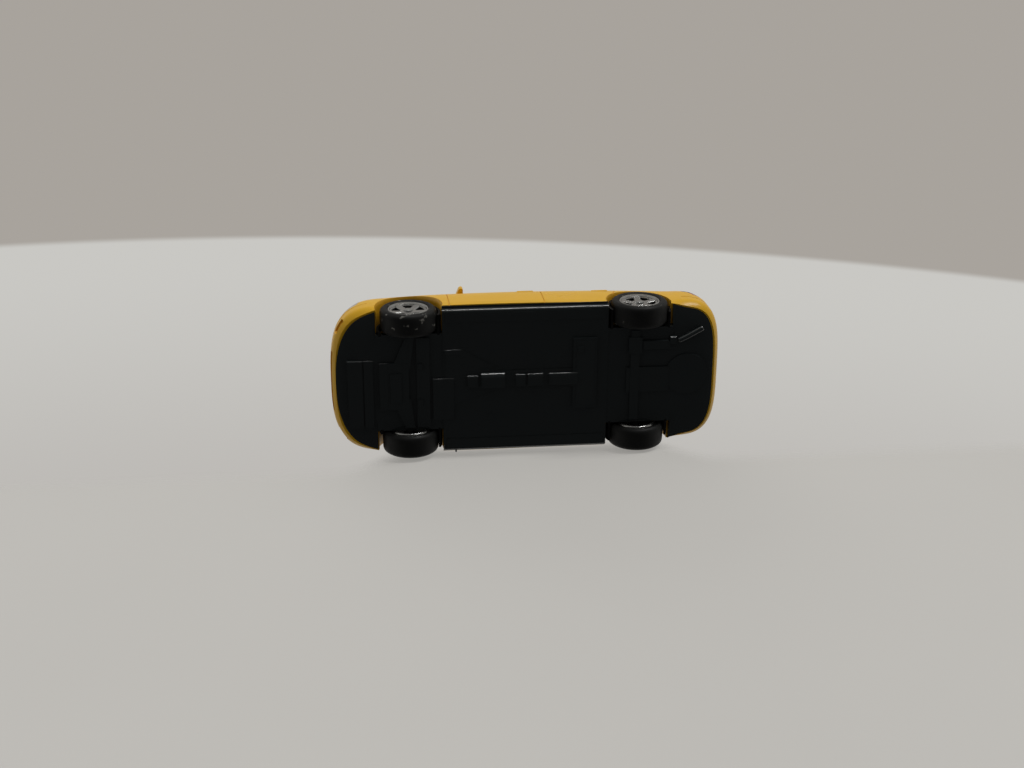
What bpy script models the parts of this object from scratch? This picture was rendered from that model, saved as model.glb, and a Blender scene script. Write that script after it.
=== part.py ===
"""Model car, 1:87: a four-door saloon moulded in yellow plastic, snapped onto a black chassis.

Units are metres and +Z is up. The nose points along -Y and the left side along +X. The origin lies on
the ground, midway between the bumpers.
"""

import math

import bmesh
import bpy
from mathutils import Matrix, Vector

# Overall body
BODY_LENGTH = 0.0490
BODY_WIDTH = 0.0196
ROOF_HEIGHT = 0.0164
SHELL_WALL = 0.0006

# Running gear
FRONT_OVERHANG = 0.00976
REAR_OVERHANG = 0.01044
WHEEL_INSET = 0.00011
TYRE_RADIUS = 0.00353
TYRE_WIDTH = 0.00295
RIM_RADIUS = 0.00251
AXLE_RADIUS = 0.0005
SPOKE_COUNT = 5

# Clearances
FIT_GAP = 0.00006
RUNNING_GAP = 0.00008
ARCH_GAP = 0.00055
ARCH_WALL = 0.0005
WELL_GAP = 0.0004

# Lower body: plan outline, flank section and decks
WIDEST_FROM_NOSE = 0.0205
SIDE_BOW_RADIUS = 0.417
NOSE_DEPTH = 0.0070
NOSE_POWER = 3.0
TAIL_DEPTH = 0.0060
TAIL_POWER = 3.6
TUCK_IN = 0.00022
FLANK_LOW = 0.0042
FLANK_HIGH = 0.0056
SHOULDER_IN = 0.0017
NOSE_RAKE = 0.0024
TAIL_RAKE = 0.0015
SHOULDER_POWER = 2.4
NOSE_DECK = 0.0076
COWL_DECK = 0.0095
TAIL_DECK = 0.0101
DECK_CROWN = 0.0008
COWL_FROM_NOSE = 0.0140

# Cabin
BELT_HEIGHT = 0.0092
BELT_INSET = 0.0014
RAIL_DROP = 0.0015
RAIL_INSET = 0.0018
SCREEN_BASE_FROM_NOSE = 0.0133
SCREEN_TOP_FROM_NOSE = 0.0208
BACKLIGHT_BASE_FROM_TAIL = 0.0078
BACKLIGHT_TOP_FROM_TAIL = 0.0146
CABIN_POWER = 4.0
ROOF_POWER = 2.3
SCREEN_SLANT = 1.6
CABIN_ROOT = 0.0012

# Windows
WINDOW_RISE = 0.0011
WINDOW_HEADER = 0.0002
PILLAR_WIDTH = 0.0008
PILLAR_AHEAD = 0.0009
SCREEN_PILLAR = 0.0021
SCREEN_EDGE = 0.0013
REAR_SCREEN_RISE = 0.0008
WINDOW_CORNER = 0.0005
GLASS = 0.0005
GLASS_RECESS = 0.0001
GLAZING_FOOT = 0.0007

# Lamps, grille and bumper recesses, seen square on
LENS_RECESS = 0.00003
HEADLIGHT_INNER = 0.0040
HEADLIGHT_INSET = 0.0007
HEADLIGHT_LOW = 0.0059
HEADLIGHT_HIGH = 0.0073
GRILLE_WIDTH = 0.0064
GRILLE_LOW = 0.0061
GRILLE_HIGH = 0.0073
GRILLE_SLOT = 0.00018
GRILLE_SLOTS = 3
TAIL_LIGHT_INNER = 0.0050
TAIL_LIGHT_INSET = 0.0009
TAIL_LIGHT_LOW = 0.0066
TAIL_LIGHT_HIGH = 0.0085
LAMP_WRAP = 0.0042
LAMP_CORNER = 0.0003
RECESS_DEPTH = 0.0003
INTAKE_WIDTH = 0.0078
INTAKE_LOW = 0.0036
INTAKE_HIGH = 0.0045
FOG_RECESS_INSET = 0.0019
FOG_RECESS_WIDTH = 0.0017

# Door handles and mirrors
HANDLE_LENGTH = 0.0021
HANDLE_HEIGHT = 0.00042
HANDLE_PROUD = 0.00018
HANDLE_LEVEL = 0.0079
FRONT_HANDLE_AHEAD = 0.0020
REAR_HANDLE_AHEAD = 0.0044
MIRROR_FROM_NOSE = 0.0163
MIRROR_WIDTH = 0.0023
MIRROR_PROUD = 0.0001
MIRROR_NECK = 0.0003
MIRROR_LENGTH = 0.0011
MIRROR_HEIGHT = 0.0012
MIRROR_PEG_RADIUS = 0.0003

# Chassis
CHASSIS_BOTTOM = 0.0022
CHASSIS_PLATE = 0.0008
PLATE_INSET = 0.00008
PLATE_TAIL_INSET = 0.0002
SILL_INSET = 0.00037
SILL_ROUND = 0.0003
SADDLE_THICKNESS = 0.0007
CLIP_LENGTH = 0.0100
CLIP_HEIGHT = 0.0014
CLIP_THICKNESS = 0.0006

# Running gear moulded on the underside: how far it stands out, and its outlines
RELIEF = 0.0003
RELIEF_EDGE = 0.0001
SILL_STRIP = 0.0014
TRAY_LEFT = 0.0031
TRAY_RIGHT = 0.0058
TRAY_FROM_NOSE = 0.0019
GROOVE_WIDTH = 0.0003
SUMP_LEFT = 0.0027
SUMP_RIGHT = 0.0034
SUMP_LENGTH = 0.0040
SUBFRAME_LENGTH = 0.0016
SUBFRAME_SETBACK = 0.0008
ARM_ROOT = 0.0022
ARM_TIP = 0.0011
ARM_SWEEP = 0.0012
TUNNEL_LEFT = 0.0042
TUNNEL_RIGHT = 0.0034
TUNNEL_MOUTH = 0.0024
TUNNEL_NECK = 0.0074
TUNNEL_NARROW = 0.0022
PIPE_RADIUS = 0.0005
PIPE_LINE = 0.0002
CATALYSER_RADIUS = 0.0008
CATALYSER_LENGTH = 0.0033
CATALYSER_SETBACK = 0.0046
TANK_LEFT = 0.0053
TANK_RIGHT = 0.0040
TANK_LENGTH = 0.0034
TANK_SETBACK = 0.0007
BEAM_LENGTH = 0.0012
DIFFERENTIAL_WIDTH = 0.0048
DIFFERENTIAL_LENGTH = 0.0040
SILENCER_RADIUS = 0.0008
SILENCER_LINE = 0.0041
SILENCER_LENGTH = 0.0044
SILENCER_SETBACK = 0.0004
TAIL_PIPE_RADIUS = 0.0004
TAIL_PIPE_OUT = 0.0058
TAIL_PIPE_FROM_TAIL = 0.0029
SPARE_RADIUS = 0.0027
SPARE_LINE = -0.0004
SPARE_FROM_TAIL = 0.0046

# Interior
TUB_FLOOR = 0.0006
TUB_INSET = 0.0023
KEEPER_WIDTH = 0.0060
KEEPER_THICKNESS = 0.0006
SEAT_INSET = 0.0014
SEAT_WIDTH = 0.0046
SEAT_DEPTH = 0.0048
SEAT_BEHIND_PILLAR = 0.0008
SEAT_CUSHION_TOP = 0.0062
SEAT_BACK_TOP = 0.0112
SEAT_BACK_THICKNESS = 0.0014
HEADREST_TOP = 0.0129
CUSHION_ROUND = 0.0005
DASH_TOP = 0.0093
DASH_DEPTH = 0.0028
DASH_SETBACK = 0.0021
CONSOLE_WIDTH = 0.0018
CONSOLE_RISE = 0.0014
BENCH_DEPTH = 0.0046
BENCH_ARCH_GAP = 0.0002
BENCH_BACK_WIDTH = 0.0118
SHELF_WIDTH = 0.0090
SHELF_DEPTH = 0.0025
SHELF_THICKNESS = 0.0004
STEERING_RADIUS = 0.0019
STEERING_RIM = 0.00024
STEERING_RAKE = math.radians(28)
COLUMN_RADIUS = 0.0003
COLUMN_LENGTH = 0.0026

# Rims
RIM_LIP_INSET = 0.0001
RIM_DISC_INSET = 0.0004
RIM_DISC = 0.0006
RIM_WALL = 0.0004
RIM_CAP_RADIUS = 0.00055
RIM_CAP_RISE = 0.0002
SPOKE_WIDTH = 0.00084
SPOKE_ROOT = 0.00115

# Facets
NOSE_STEPS = 9
FLANK_STEPS = 6
TAIL_STEPS = 9
DECK_LEVELS = (0.4, 0.75)
CABIN_STEPS = 34
ROOF_LEVELS = (0.96, 0.88, 0.74, 0.5, 0.15)
ARCH_STEPS = 32
TYRE_STEPS = 26
RIM_STEPS = 20
ROUND_STEPS = 28
BAR_STEPS = 16
PEG_STEPS = 8
WELD = 0.000001

# Colours
YELLOW = (0.62, 0.36, 0.04)
BLACK = (0.006, 0.0065, 0.0065)
RUBBER = (0.008, 0.008, 0.008)
SILVER = (0.45, 0.45, 0.44)
STEEL = (0.5, 0.5, 0.5)
CLEAR = (0.75, 0.8, 0.8)
RED = (0.45, 0.01, 0.01)
DARK_GREY = (0.03, 0.03, 0.032)

# Places that follow from the sizes above
NOSE_Y = -BODY_LENGTH / 2
TAIL_Y = BODY_LENGTH / 2
FRONT_AXLE_Y = NOSE_Y + FRONT_OVERHANG
REAR_AXLE_Y = TAIL_Y - REAR_OVERHANG
OUTER_TRACK = BODY_WIDTH - 2 * WHEEL_INSET
ARCH_RADIUS = TYRE_RADIUS + ARCH_GAP
HOUSING_RADIUS = ARCH_RADIUS + ARCH_WALL
BELT_WIDTH = BODY_WIDTH - 2 * BELT_INSET
RAIL_WIDTH = BELT_WIDTH - 2 * RAIL_INSET
SILL_WIDTH = BODY_WIDTH - 2 * SILL_INSET
TUB_WIDTH = BODY_WIDTH - 2 * TUB_INSET
SEAT_X = TUB_WIDTH / 2 - SEAT_INSET - SEAT_WIDTH / 2
SCREEN_BASE_Y = NOSE_Y + SCREEN_BASE_FROM_NOSE
SCREEN_TOP_Y = NOSE_Y + SCREEN_TOP_FROM_NOSE
BACKLIGHT_BASE_Y = TAIL_Y - BACKLIGHT_BASE_FROM_TAIL
BACKLIGHT_TOP_Y = TAIL_Y - BACKLIGHT_TOP_FROM_TAIL
RAIL_HEIGHT = ROOF_HEIGHT - RAIL_DROP
CHASSIS_TOP = CHASSIS_BOTTOM + CHASSIS_PLATE
SKIRT_HEIGHT = CHASSIS_TOP + FIT_GAP
TUB_BASE = CHASSIS_TOP + FIT_GAP
TUB_TOP = TUB_BASE + TUB_FLOOR
WELL_INNER = OUTER_TRACK / 2 - TYRE_WIDTH - WELL_GAP
AXLE_TOP = TYRE_RADIUS + AXLE_RADIUS
PILLAR_Y = (SCREEN_TOP_Y + BACKLIGHT_TOP_Y) / 2 - PILLAR_AHEAD
SILL_FRONT = FRONT_AXLE_Y + ARCH_RADIUS
SILL_REAR = REAR_AXLE_Y - ARCH_RADIUS
RELIEF_ROOT = CHASSIS_BOTTOM + CHASSIS_PLATE * 0.4
BEYOND = 0.002


def clear_scene():
    for obj in list(bpy.data.objects):
        bpy.data.objects.remove(obj, do_unlink=True)


def make_object(name, bm):
    """A new object from bm, its faces turned outwards."""
    bmesh.ops.recalc_face_normals(bm, faces=bm.faces[:])
    mesh = bpy.data.meshes.new(name)
    bm.to_mesh(mesh)
    bm.free()
    obj = bpy.data.objects.new(name, mesh)
    bpy.context.scene.collection.objects.link(obj)
    return obj


def helper(obj):
    """Marks an object as a tool for cutting or joining, not a piece of the car."""
    obj.hide_render = True
    obj.display_type = "WIRE"
    return obj


def finish(obj, colour, roughness, metallic=0.0, alpha=1.0, sharp=35):
    """Gives a piece its material and its smooth shading."""
    material = bpy.data.materials.new(obj.name)
    material.use_nodes = True
    shader = material.node_tree.nodes["Principled BSDF"]
    shader.inputs["Base Color"].default_value = (*colour, 1.0)
    shader.inputs["Roughness"].default_value = roughness
    shader.inputs["Metallic"].default_value = metallic
    shader.inputs["Alpha"].default_value = alpha
    obj.data.materials.append(material)
    obj.data.shade_smooth()
    obj.data.set_sharp_from_angle(angle=math.radians(sharp))
    return obj


def combine(target, tool, operation):
    """Adds a Boolean of the tool to the target."""
    modifier = target.modifiers.new(f"{operation.lower()} {tool.name}", "BOOLEAN")
    modifier.operation = operation
    modifier.solver = "EXACT"
    modifier.object = helper(tool)
    return target


def cut(target, *tools):
    for tool in tools:
        combine(target, tool, "DIFFERENCE")
    return target


def join(target, *tools):
    for tool in tools:
        combine(target, tool, "UNION")
    return target


def keep(target, tool):
    return combine(target, tool, "INTERSECT")


def tools_of(obj):
    """The objects that cut or join a piece."""
    return [modifier.object for modifier in obj.modifiers if modifier.type == "BOOLEAN"]


def loft(name, rings):
    """A closed skin through rings of equal point counts, flat at both ends."""
    bm = bmesh.new()
    loops = []
    for ring in rings:
        verts = [bm.verts.new(point) for point in ring]
        loops.append([bm.edges.new(pair) for pair in zip(verts, verts[1:] + verts[:1])])
    for lower, upper in zip(loops, loops[1:]):
        bmesh.ops.bridge_loops(bm, edges=lower + upper)
    for end in (loops[0], loops[-1]):
        bmesh.ops.edgeloop_fill(bm, edges=end)
    bmesh.ops.triangulate(bm, faces=bm.faces[:])
    return make_object(name, bm)


def prism(name, outline, along, start, end, corner=0.0):
    """An outline with rounded corners, pushed along X, Y or Z from start to end.

    The outline's two coordinates lie on the other two axes, in X, Y, Z order.
    """
    axis = "XYZ".index(along)
    others = [i for i in range(3) if i != axis]
    bm = bmesh.new()
    verts = []
    for pair in outline:
        point = Vector((0, 0, 0))
        point[axis] = start
        point[others[0]], point[others[1]] = pair
        verts.append(bm.verts.new(point))
    bm.faces.new(verts)
    if corner:
        radius = min([corner] + [edge.calc_length() / 3 for edge in bm.edges])
        bmesh.ops.bevel(bm, geom=verts, offset=radius, segments=3, profile=0.5, affect="VERTICES")
    pushed = bmesh.ops.extrude_face_region(bm, geom=bm.faces[:])["geom"]
    travel = Vector((0, 0, 0))
    travel[axis] = end - start
    bmesh.ops.translate(bm, vec=travel, verts=[v for v in pushed if isinstance(v, bmesh.types.BMVert)])
    return make_object(name, bm)


def block(name, low, high, bevel=0.0, segments=1):
    """A box between two corners, with its edges broken."""
    bm = bmesh.new()
    low, high = Vector(low), Vector(high)
    size = high - low
    bmesh.ops.create_cube(bm, size=1.0)
    bmesh.ops.scale(bm, vec=size, verts=bm.verts)
    bmesh.ops.translate(bm, vec=(low + high) / 2, verts=bm.verts)
    if bevel:
        bmesh.ops.bevel(bm, geom=bm.edges[:], offset=bevel, segments=segments, profile=0.5, affect="EDGES")
    return make_object(name, bm)


def rod(name, start, end, radius, sides):
    """A round bar between two points."""
    start, end = Vector(start), Vector(end)
    bm = bmesh.new()
    bmesh.ops.create_cone(
        bm, cap_ends=True, segments=sides, radius1=radius, radius2=radius, depth=(end - start).length
    )
    turn = Vector((0, 0, 1)).rotation_difference(end - start).to_matrix().to_4x4()
    bmesh.ops.transform(bm, matrix=Matrix.Translation((start + end) / 2) @ turn, verts=bm.verts)
    return make_object(name, bm)


def turned(name, profile, steps):
    """A profile of (along X, radius) pairs turned about the X axis."""
    bm = bmesh.new()
    verts = [bm.verts.new((along, 0, radius)) for along, radius in profile]
    edges = [bm.edges.new(pair) for pair in zip(verts, verts[1:])]
    if profile[0][1] > 0:
        edges.append(bm.edges.new((verts[-1], verts[0])))
    bmesh.ops.spin(
        bm,
        geom=verts + edges,
        axis=(1, 0, 0),
        cent=(0, 0, 0),
        steps=steps,
        angle=2 * math.pi,
        use_merge=True,
    )
    bmesh.ops.remove_doubles(bm, verts=bm.verts[:], dist=WELD)
    return make_object(name, bm)


def mix(start, end, share):
    return start + (end - start) * share


def half_width(y):
    """Half the body's width at y, along the long arc of its flank."""
    run = y - (NOSE_Y + WIDEST_FROM_NOSE)
    return BODY_WIDTH / 2 - SIDE_BOW_RADIUS + math.sqrt(SIDE_BOW_RADIUS**2 - run**2)


def plan_loop(side, front, rear):
    """The body's plan outline as (x, y), drawn in by these amounts at flanks, nose and tail."""
    nose_end, tail_start = NOSE_Y + NOSE_DEPTH, TAIL_Y - TAIL_DEPTH
    left = []
    for step in range(NOSE_STEPS):
        angle = math.pi / 2 * step / NOSE_STEPS
        across, along = (f(angle) ** (2 / NOSE_POWER) for f in (math.sin, math.cos))
        left.append(((half_width(nose_end) - side) * across, nose_end - (NOSE_DEPTH - front) * along))
    for step in range(FLANK_STEPS):
        y = mix(nose_end, tail_start, step / FLANK_STEPS)
        left.append((half_width(y) - side, y))
    for step in range(TAIL_STEPS):
        angle = math.pi / 2 * step / TAIL_STEPS
        across, along = (f(angle) ** (2 / TAIL_POWER) for f in (math.cos, math.sin))
        left.append(((half_width(tail_start) - side) * across, tail_start + (TAIL_DEPTH - rear) * along))
    left.append((0.0, TAIL_Y - rear))
    return left + [(-x, y) for x, y in left[-2:0:-1]]


def deck_height(x, y):
    """Height of the bonnet and boot lid, which climb to the cowl and crown across the car."""
    cowl_y = NOSE_Y + COWL_FROM_NOSE
    if y < cowl_y:
        rise = (y - NOSE_Y) / (cowl_y - NOSE_Y)
        edge = mix(COWL_DECK, NOSE_DECK, (1 - rise) ** 2)
    else:
        edge = mix(COWL_DECK, TAIL_DECK, (y - cowl_y) / (TAIL_Y - cowl_y))
    return edge + DECK_CROWN * (1 - (x / half_width(y)) ** 2)


def body_loft(name, skin, foot, shoulder_steps):
    """The lower body, every surface drawn in by skin, standing on a foot at that height."""
    rings = [[(x, y, foot) for x, y in plan_loop(skin + TUCK_IN, skin + TUCK_IN, skin + TUCK_IN)]]
    for height in (SKIRT_HEIGHT, mix(SKIRT_HEIGHT, FLANK_LOW, 0.5), FLANK_LOW, FLANK_HIGH):
        if height <= foot:
            continue
        share = max(0.0, (FLANK_LOW - height) / (FLANK_LOW - SKIRT_HEIGHT))
        tuck = skin + TUCK_IN * share**2
        rings.append([(x, y, height) for x, y in plan_loop(tuck, tuck, tuck)])
    for step in range(1, shoulder_steps + 1):
        angle = math.pi / 2 * step / shoulder_steps
        lean = 1 - max(0.0, math.cos(angle)) ** (2 / SHOULDER_POWER)
        climb = math.sin(angle) ** (2 / SHOULDER_POWER)
        loop = plan_loop(skin + SHOULDER_IN * lean, skin + NOSE_RAKE * lean, skin + TAIL_RAKE * lean)
        rings.append([(x, y, mix(FLANK_HIGH, deck_height(x, y) - skin, climb)) for x, y in loop])
    for share in DECK_LEVELS:
        loop = plan_loop(
            mix(skin + SHOULDER_IN, BODY_WIDTH / 2, share),
            mix(skin + NOSE_RAKE, NOSE_DEPTH, share),
            mix(skin + TAIL_RAKE, TAIL_DEPTH, share),
        )
        rings.append([(x, y, deck_height(x, y) - skin) for x, y in loop])
    return loft(name, rings)


def cabin_loop(width, front, rear, height):
    """A level of the cabin: a rounded oblong with bowed ends."""
    ring = []
    for step in range(CABIN_STEPS):
        angle = 2 * math.pi * (step + 0.5) / CABIN_STEPS
        across, along = (
            math.copysign(abs(f(angle)) ** (2 / CABIN_POWER), f(angle)) for f in (math.sin, math.cos)
        )
        ring.append((width / 2 * across, mix(front, rear, (1 - along) / 2), height))
    return ring


def cabin_loft(name, skin):
    """Glasshouse and roof, every surface drawn in by skin, rooted below the deck."""
    fronts, rears = (SCREEN_BASE_Y, SCREEN_TOP_Y), (BACKLIGHT_BASE_Y, BACKLIGHT_TOP_Y)
    slant = skin * SCREEN_SLANT
    rail = RAIL_HEIGHT - skin
    rings = []
    for height in (BELT_HEIGHT - CABIN_ROOT, mix(BELT_HEIGHT, rail, 0.5), rail):
        climb = (height - BELT_HEIGHT) / (RAIL_HEIGHT - BELT_HEIGHT)
        width = mix(BELT_WIDTH, RAIL_WIDTH, climb) - 2 * skin
        rings.append(cabin_loop(width, mix(*fronts, climb) + slant, mix(*rears, climb) - slant, height))
    top = (width, mix(*fronts, climb) + slant, mix(*rears, climb) - slant)
    middle = (top[1] + top[2]) / 2
    for share in ROOF_LEVELS:
        rise = (1 - share**ROOF_POWER) ** (1 / ROOF_POWER)
        rings.append(
            cabin_loop(
                top[0] * share,
                mix(middle, top[1], share),
                mix(middle, top[2], share),
                rail + RAIL_DROP * rise,
            )
        )
    return loft(name, rings)


def screen_y(base, top, height):
    """Where a raked screen stands at a height, from its places at belt and rail."""
    return mix(base, top, (height - BELT_HEIGHT) / (RAIL_HEIGHT - BELT_HEIGHT))


def window_prisms(name, shrink):
    """Outlines of all windows as bars through the cabin, each side moved in by shrink."""
    sill = BELT_HEIGHT + WINDOW_RISE + shrink
    head = RAIL_HEIGHT - WINDOW_HEADER - shrink
    fronts, rears = (SCREEN_BASE_Y, SCREEN_TOP_Y), (BACKLIGHT_BASE_Y, BACKLIGHT_TOP_Y)
    inset = SCREEN_PILLAR + shrink * SCREEN_SLANT
    post = PILLAR_WIDTH / 2 + shrink
    reach = BODY_WIDTH / 2 + BEYOND
    front_door = [
        (screen_y(*fronts, sill) + inset, sill),
        (PILLAR_Y - post, sill),
        (PILLAR_Y - post, head),
        (screen_y(*fronts, head) + inset, head),
    ]
    rear_door = [
        (PILLAR_Y + post, sill),
        (screen_y(*rears, sill) - inset, sill),
        (screen_y(*rears, head) - inset, head),
        (PILLAR_Y + post, head),
    ]
    tools = [
        prism(f"{name} front door", front_door, "X", -reach, reach, WINDOW_CORNER),
        prism(f"{name} rear door", rear_door, "X", -reach, reach, WINDOW_CORNER),
    ]
    low, high = BELT_WIDTH / 2 - SCREEN_EDGE - shrink, RAIL_WIDTH / 2 - PILLAR_WIDTH - shrink
    ends = (("windscreen", fronts, sill), ("rear screen", rears, sill + REAR_SCREEN_RISE))
    for end, (base, top), foot in ends:
        outline = [(-low, foot), (low, foot), (high, head), (-high, head)]
        outward = math.copysign(BEYOND, base)
        inward = top - math.copysign(PILLAR_WIDTH / 4, base)
        tools.append(prism(f"{name} {end}", outline, "Y", inward, base + outward, WINDOW_CORNER))
    return tools


def mirrored_outline(inner, outer, low, high, side, grow):
    """A lamp outline on one side of the car as (x, z), grown all round."""
    xs = (side * (inner - grow), side * (outer + grow))
    return [(xs[0], low - grow), (xs[1], low - grow), (xs[1], high + grow), (xs[0], high + grow)]


def lamp_prism(name, lamp, side, grow):
    """The bar that cuts a lamp's seat in the shell, or bounds its lens when it isn't grown."""
    inner, outer, low, high, end = lamp
    outline = mirrored_outline(inner, outer, low, high, side, grow)
    tip = end + math.copysign(BEYOND, end)
    inside = end - math.copysign(LAMP_WRAP, end)
    return prism(name, outline, "Y", inside, tip, LAMP_CORNER)


HEADLIGHT = (HEADLIGHT_INNER, BODY_WIDTH / 2 - HEADLIGHT_INSET, HEADLIGHT_LOW, HEADLIGHT_HIGH, NOSE_Y)
TAIL_LIGHT = (TAIL_LIGHT_INNER, BODY_WIDTH / 2 - TAIL_LIGHT_INSET, TAIL_LIGHT_LOW, TAIL_LIGHT_HIGH, TAIL_Y)
SIDES = (("left", 1), ("right", -1))


def lens(name, bar, depth):
    """A piece of the body's own skin that fills a seat in the shell, as thick as depth."""
    piece = body_loft(name, LENS_RECESS, SKIRT_HEIGHT, 4)
    keep(piece, bar)
    return cut(piece, body_loft(f"{name} back", LENS_RECESS + depth, SKIRT_HEIGHT - BEYOND, 4))


def grille_prism(name, grow):
    half = GRILLE_WIDTH / 2
    outline = mirrored_outline(-half, half, GRILLE_LOW, GRILLE_HIGH, 1, grow)
    return prism(name, outline, "Y", NOSE_Y + LAMP_WRAP, NOSE_Y - BEYOND, LAMP_CORNER)


def bumper_recesses():
    """Shallow pockets in the front bumper: the intake in the middle and one at each corner."""
    tools = []
    half = INTAKE_WIDTH / 2
    fog_outer = BODY_WIDTH / 2 - FOG_RECESS_INSET
    fog_inner = fog_outer - FOG_RECESS_WIDTH
    pockets = [("intake", -half, half, 1)]
    pockets += [(f"fog recess {name}", fog_inner, fog_outer, side) for name, side in SIDES]
    for name, inner, outer, side in pockets:
        outline = mirrored_outline(inner, outer, INTAKE_LOW, INTAKE_HIGH, side, 0)
        pocket = prism(name, outline, "Y", NOSE_Y + NOSE_DEPTH / 2, NOSE_Y - BEYOND, LAMP_CORNER)
        tools.append(cut(pocket, body_loft(f"{name} floor", RECESS_DEPTH, SKIRT_HEIGHT - BEYOND, 4)))
    return tools


def flank_face(y, z):
    """Distance of the flank's outside from the centre plane, between the arches and on the shoulder."""
    low = max(0.0, min(1.0, (FLANK_LOW - z) / (FLANK_LOW - SKIRT_HEIGHT)))
    climb = max(0.0, (z - FLANK_HIGH) / (deck_height(half_width(y), y) - FLANK_HIGH))
    lean = 1 - (1 - climb**SHOULDER_POWER) ** (1 / SHOULDER_POWER)
    return half_width(y) - TUCK_IN * low**2 - SHOULDER_IN * lean


def handle(name, side, y):
    """A door handle: a low bar on the shoulder of the flank."""
    face = flank_face(y, HANDLE_LEVEL)
    xs = sorted((side * (face - SHELL_WALL / 2), side * (face + HANDLE_PROUD)))
    low = (xs[0], y - HANDLE_LENGTH / 2, HANDLE_LEVEL - HANDLE_HEIGHT / 2)
    high = (xs[1], y + HANDLE_LENGTH / 2, HANDLE_LEVEL + HANDLE_HEIGHT / 2)
    return block(name, low, high, HANDLE_PROUD / 2)


def mirror_foot(side):
    """Where a mirror stands on the shoulder beside the windscreen."""
    y = NOSE_Y + MIRROR_FROM_NOSE
    x = half_width(y) - SHOULDER_IN - MIRROR_PEG_RADIUS
    return side * x, y, deck_height(x, y)


def mirror_peg(name, side, grow):
    x, y, deck = mirror_foot(side)
    low, high = deck - SHELL_WALL * 0.8 - grow, deck + MIRROR_NECK + MIRROR_HEIGHT / 2
    return rod(name, (x, y, low), (x, y, high), MIRROR_PEG_RADIUS + grow, PEG_STEPS)


def door_mirror(name, side):
    """A door mirror: a wedge of a housing on a short peg."""
    y, deck = mirror_foot(side)[1:]
    tip = side * (BODY_WIDTH / 2 + MIRROR_PROUD)
    root = tip - side * MIRROR_WIDTH
    back, front = y + MIRROR_LENGTH / 2, y - MIRROR_LENGTH / 2
    outline = [
        (root, back),
        (root, mix(front, back, 0.3)),
        (mix(root, tip, 0.5), front),
        (tip, mix(front, back, 0.55)),
        (tip, back),
    ]
    low = deck + MIRROR_NECK
    piece = prism(name, outline, "Z", low, low + MIRROR_HEIGHT)
    return join(piece, mirror_peg(f"{name} peg", side, 0))


def wheel_housings(place, axle_y):
    """Drums that line the two wheel openings of an axle, still filled, rooted in the shell's flank."""
    drums = []
    reach = BODY_LENGTH
    floor = (-reach, -reach, SKIRT_HEIGHT + FIT_GAP)
    for name, side in SIDES:
        inner, outer = [], []
        for step in range(ARCH_STEPS):
            angle = 2 * math.pi * (step + 0.5) / ARCH_STEPS
            y = axle_y + HOUSING_RADIUS * math.cos(angle)
            z = TYRE_RADIUS + HOUSING_RADIUS * math.sin(angle)
            inner.append((side * (WELL_INNER + FIT_GAP), y, z))
            outer.append((side * (flank_face(y, z) - SHELL_WALL / 2), y, z))
        drum = loft(f"{place} housing {name}", [inner, outer])
        drums.append(keep(drum, block(f"{drum.name} limit", floor, (reach, reach, reach))))
    return drums


def body_shell():
    """The yellow shell: a lofted skin with arches, windows and lamp seats cut in it."""
    shell = body_loft("body_shell", 0.0, SKIRT_HEIGHT, 5)
    join(shell, cabin_loft("cabin skin", 0.0))
    for name, side in SIDES:
        join(shell, handle(f"front handle {name}", side, PILLAR_Y - FRONT_HANDLE_AHEAD))
        join(shell, handle(f"rear handle {name}", side, REAR_AXLE_Y - REAR_HANDLE_AHEAD))
    cut(shell, body_loft("body cavity", SHELL_WALL, SKIRT_HEIGHT - BEYOND, 4))
    cut(shell, cabin_loft("cabin cavity", SHELL_WALL))
    cut(shell, *window_prisms("opening", 0.0))
    reach = BODY_WIDTH / 2 + BEYOND
    for place, y in (("front", FRONT_AXLE_Y), ("rear", REAR_AXLE_Y)):
        join(shell, *wheel_housings(place, y))
        ends = [(side * reach, y, TYRE_RADIUS) for side in (-1, 1)]
        cut(shell, rod(f"{place} arch", *ends, ARCH_RADIUS, ARCH_STEPS))
    for name, side in SIDES:
        cut(shell, lamp_prism(f"headlight seat {name}", HEADLIGHT, side, FIT_GAP))
        cut(shell, lamp_prism(f"tail light seat {name}", TAIL_LIGHT, side, FIT_GAP))
        cut(shell, mirror_peg(f"mirror socket {name}", side, FIT_GAP))
    cut(shell, grille_prism("grille seat", FIT_GAP))
    cut(shell, *bumper_recesses())
    return finish(shell, YELLOW, 0.35)


def glazing():
    """All windows in one clear moulding: a skirt inside the cabin with panes that fill the openings."""
    piece = cabin_loft("glazing", SHELL_WALL + FIT_GAP)
    for pane in window_prisms("pane", FIT_GAP):
        join(piece, keep(cabin_loft(f"{pane.name} face", GLASS_RECESS), pane))
    cut(piece, cabin_loft("glazing hollow", SHELL_WALL + FIT_GAP + GLASS))
    reach = BODY_LENGTH
    foot = BELT_HEIGHT + GLAZING_FOOT
    cut(piece, block("glazing trim", (-reach, -reach, 0), (reach, reach, foot)))
    return finish(piece, CLEAR, 0.05, alpha=0.35)


def lamps():
    depth = SHELL_WALL - LENS_RECESS
    for name, side in SIDES:
        front = lens(f"headlight_{name}", lamp_prism(f"headlight bar {name}", HEADLIGHT, side, 0), depth)
        finish(front, CLEAR, 0.08, alpha=0.6)
        rear = lens(f"tail_light_{name}", lamp_prism(f"tail light bar {name}", TAIL_LIGHT, side, 0), depth)
        finish(rear, RED, 0.1, alpha=0.8)


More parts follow.
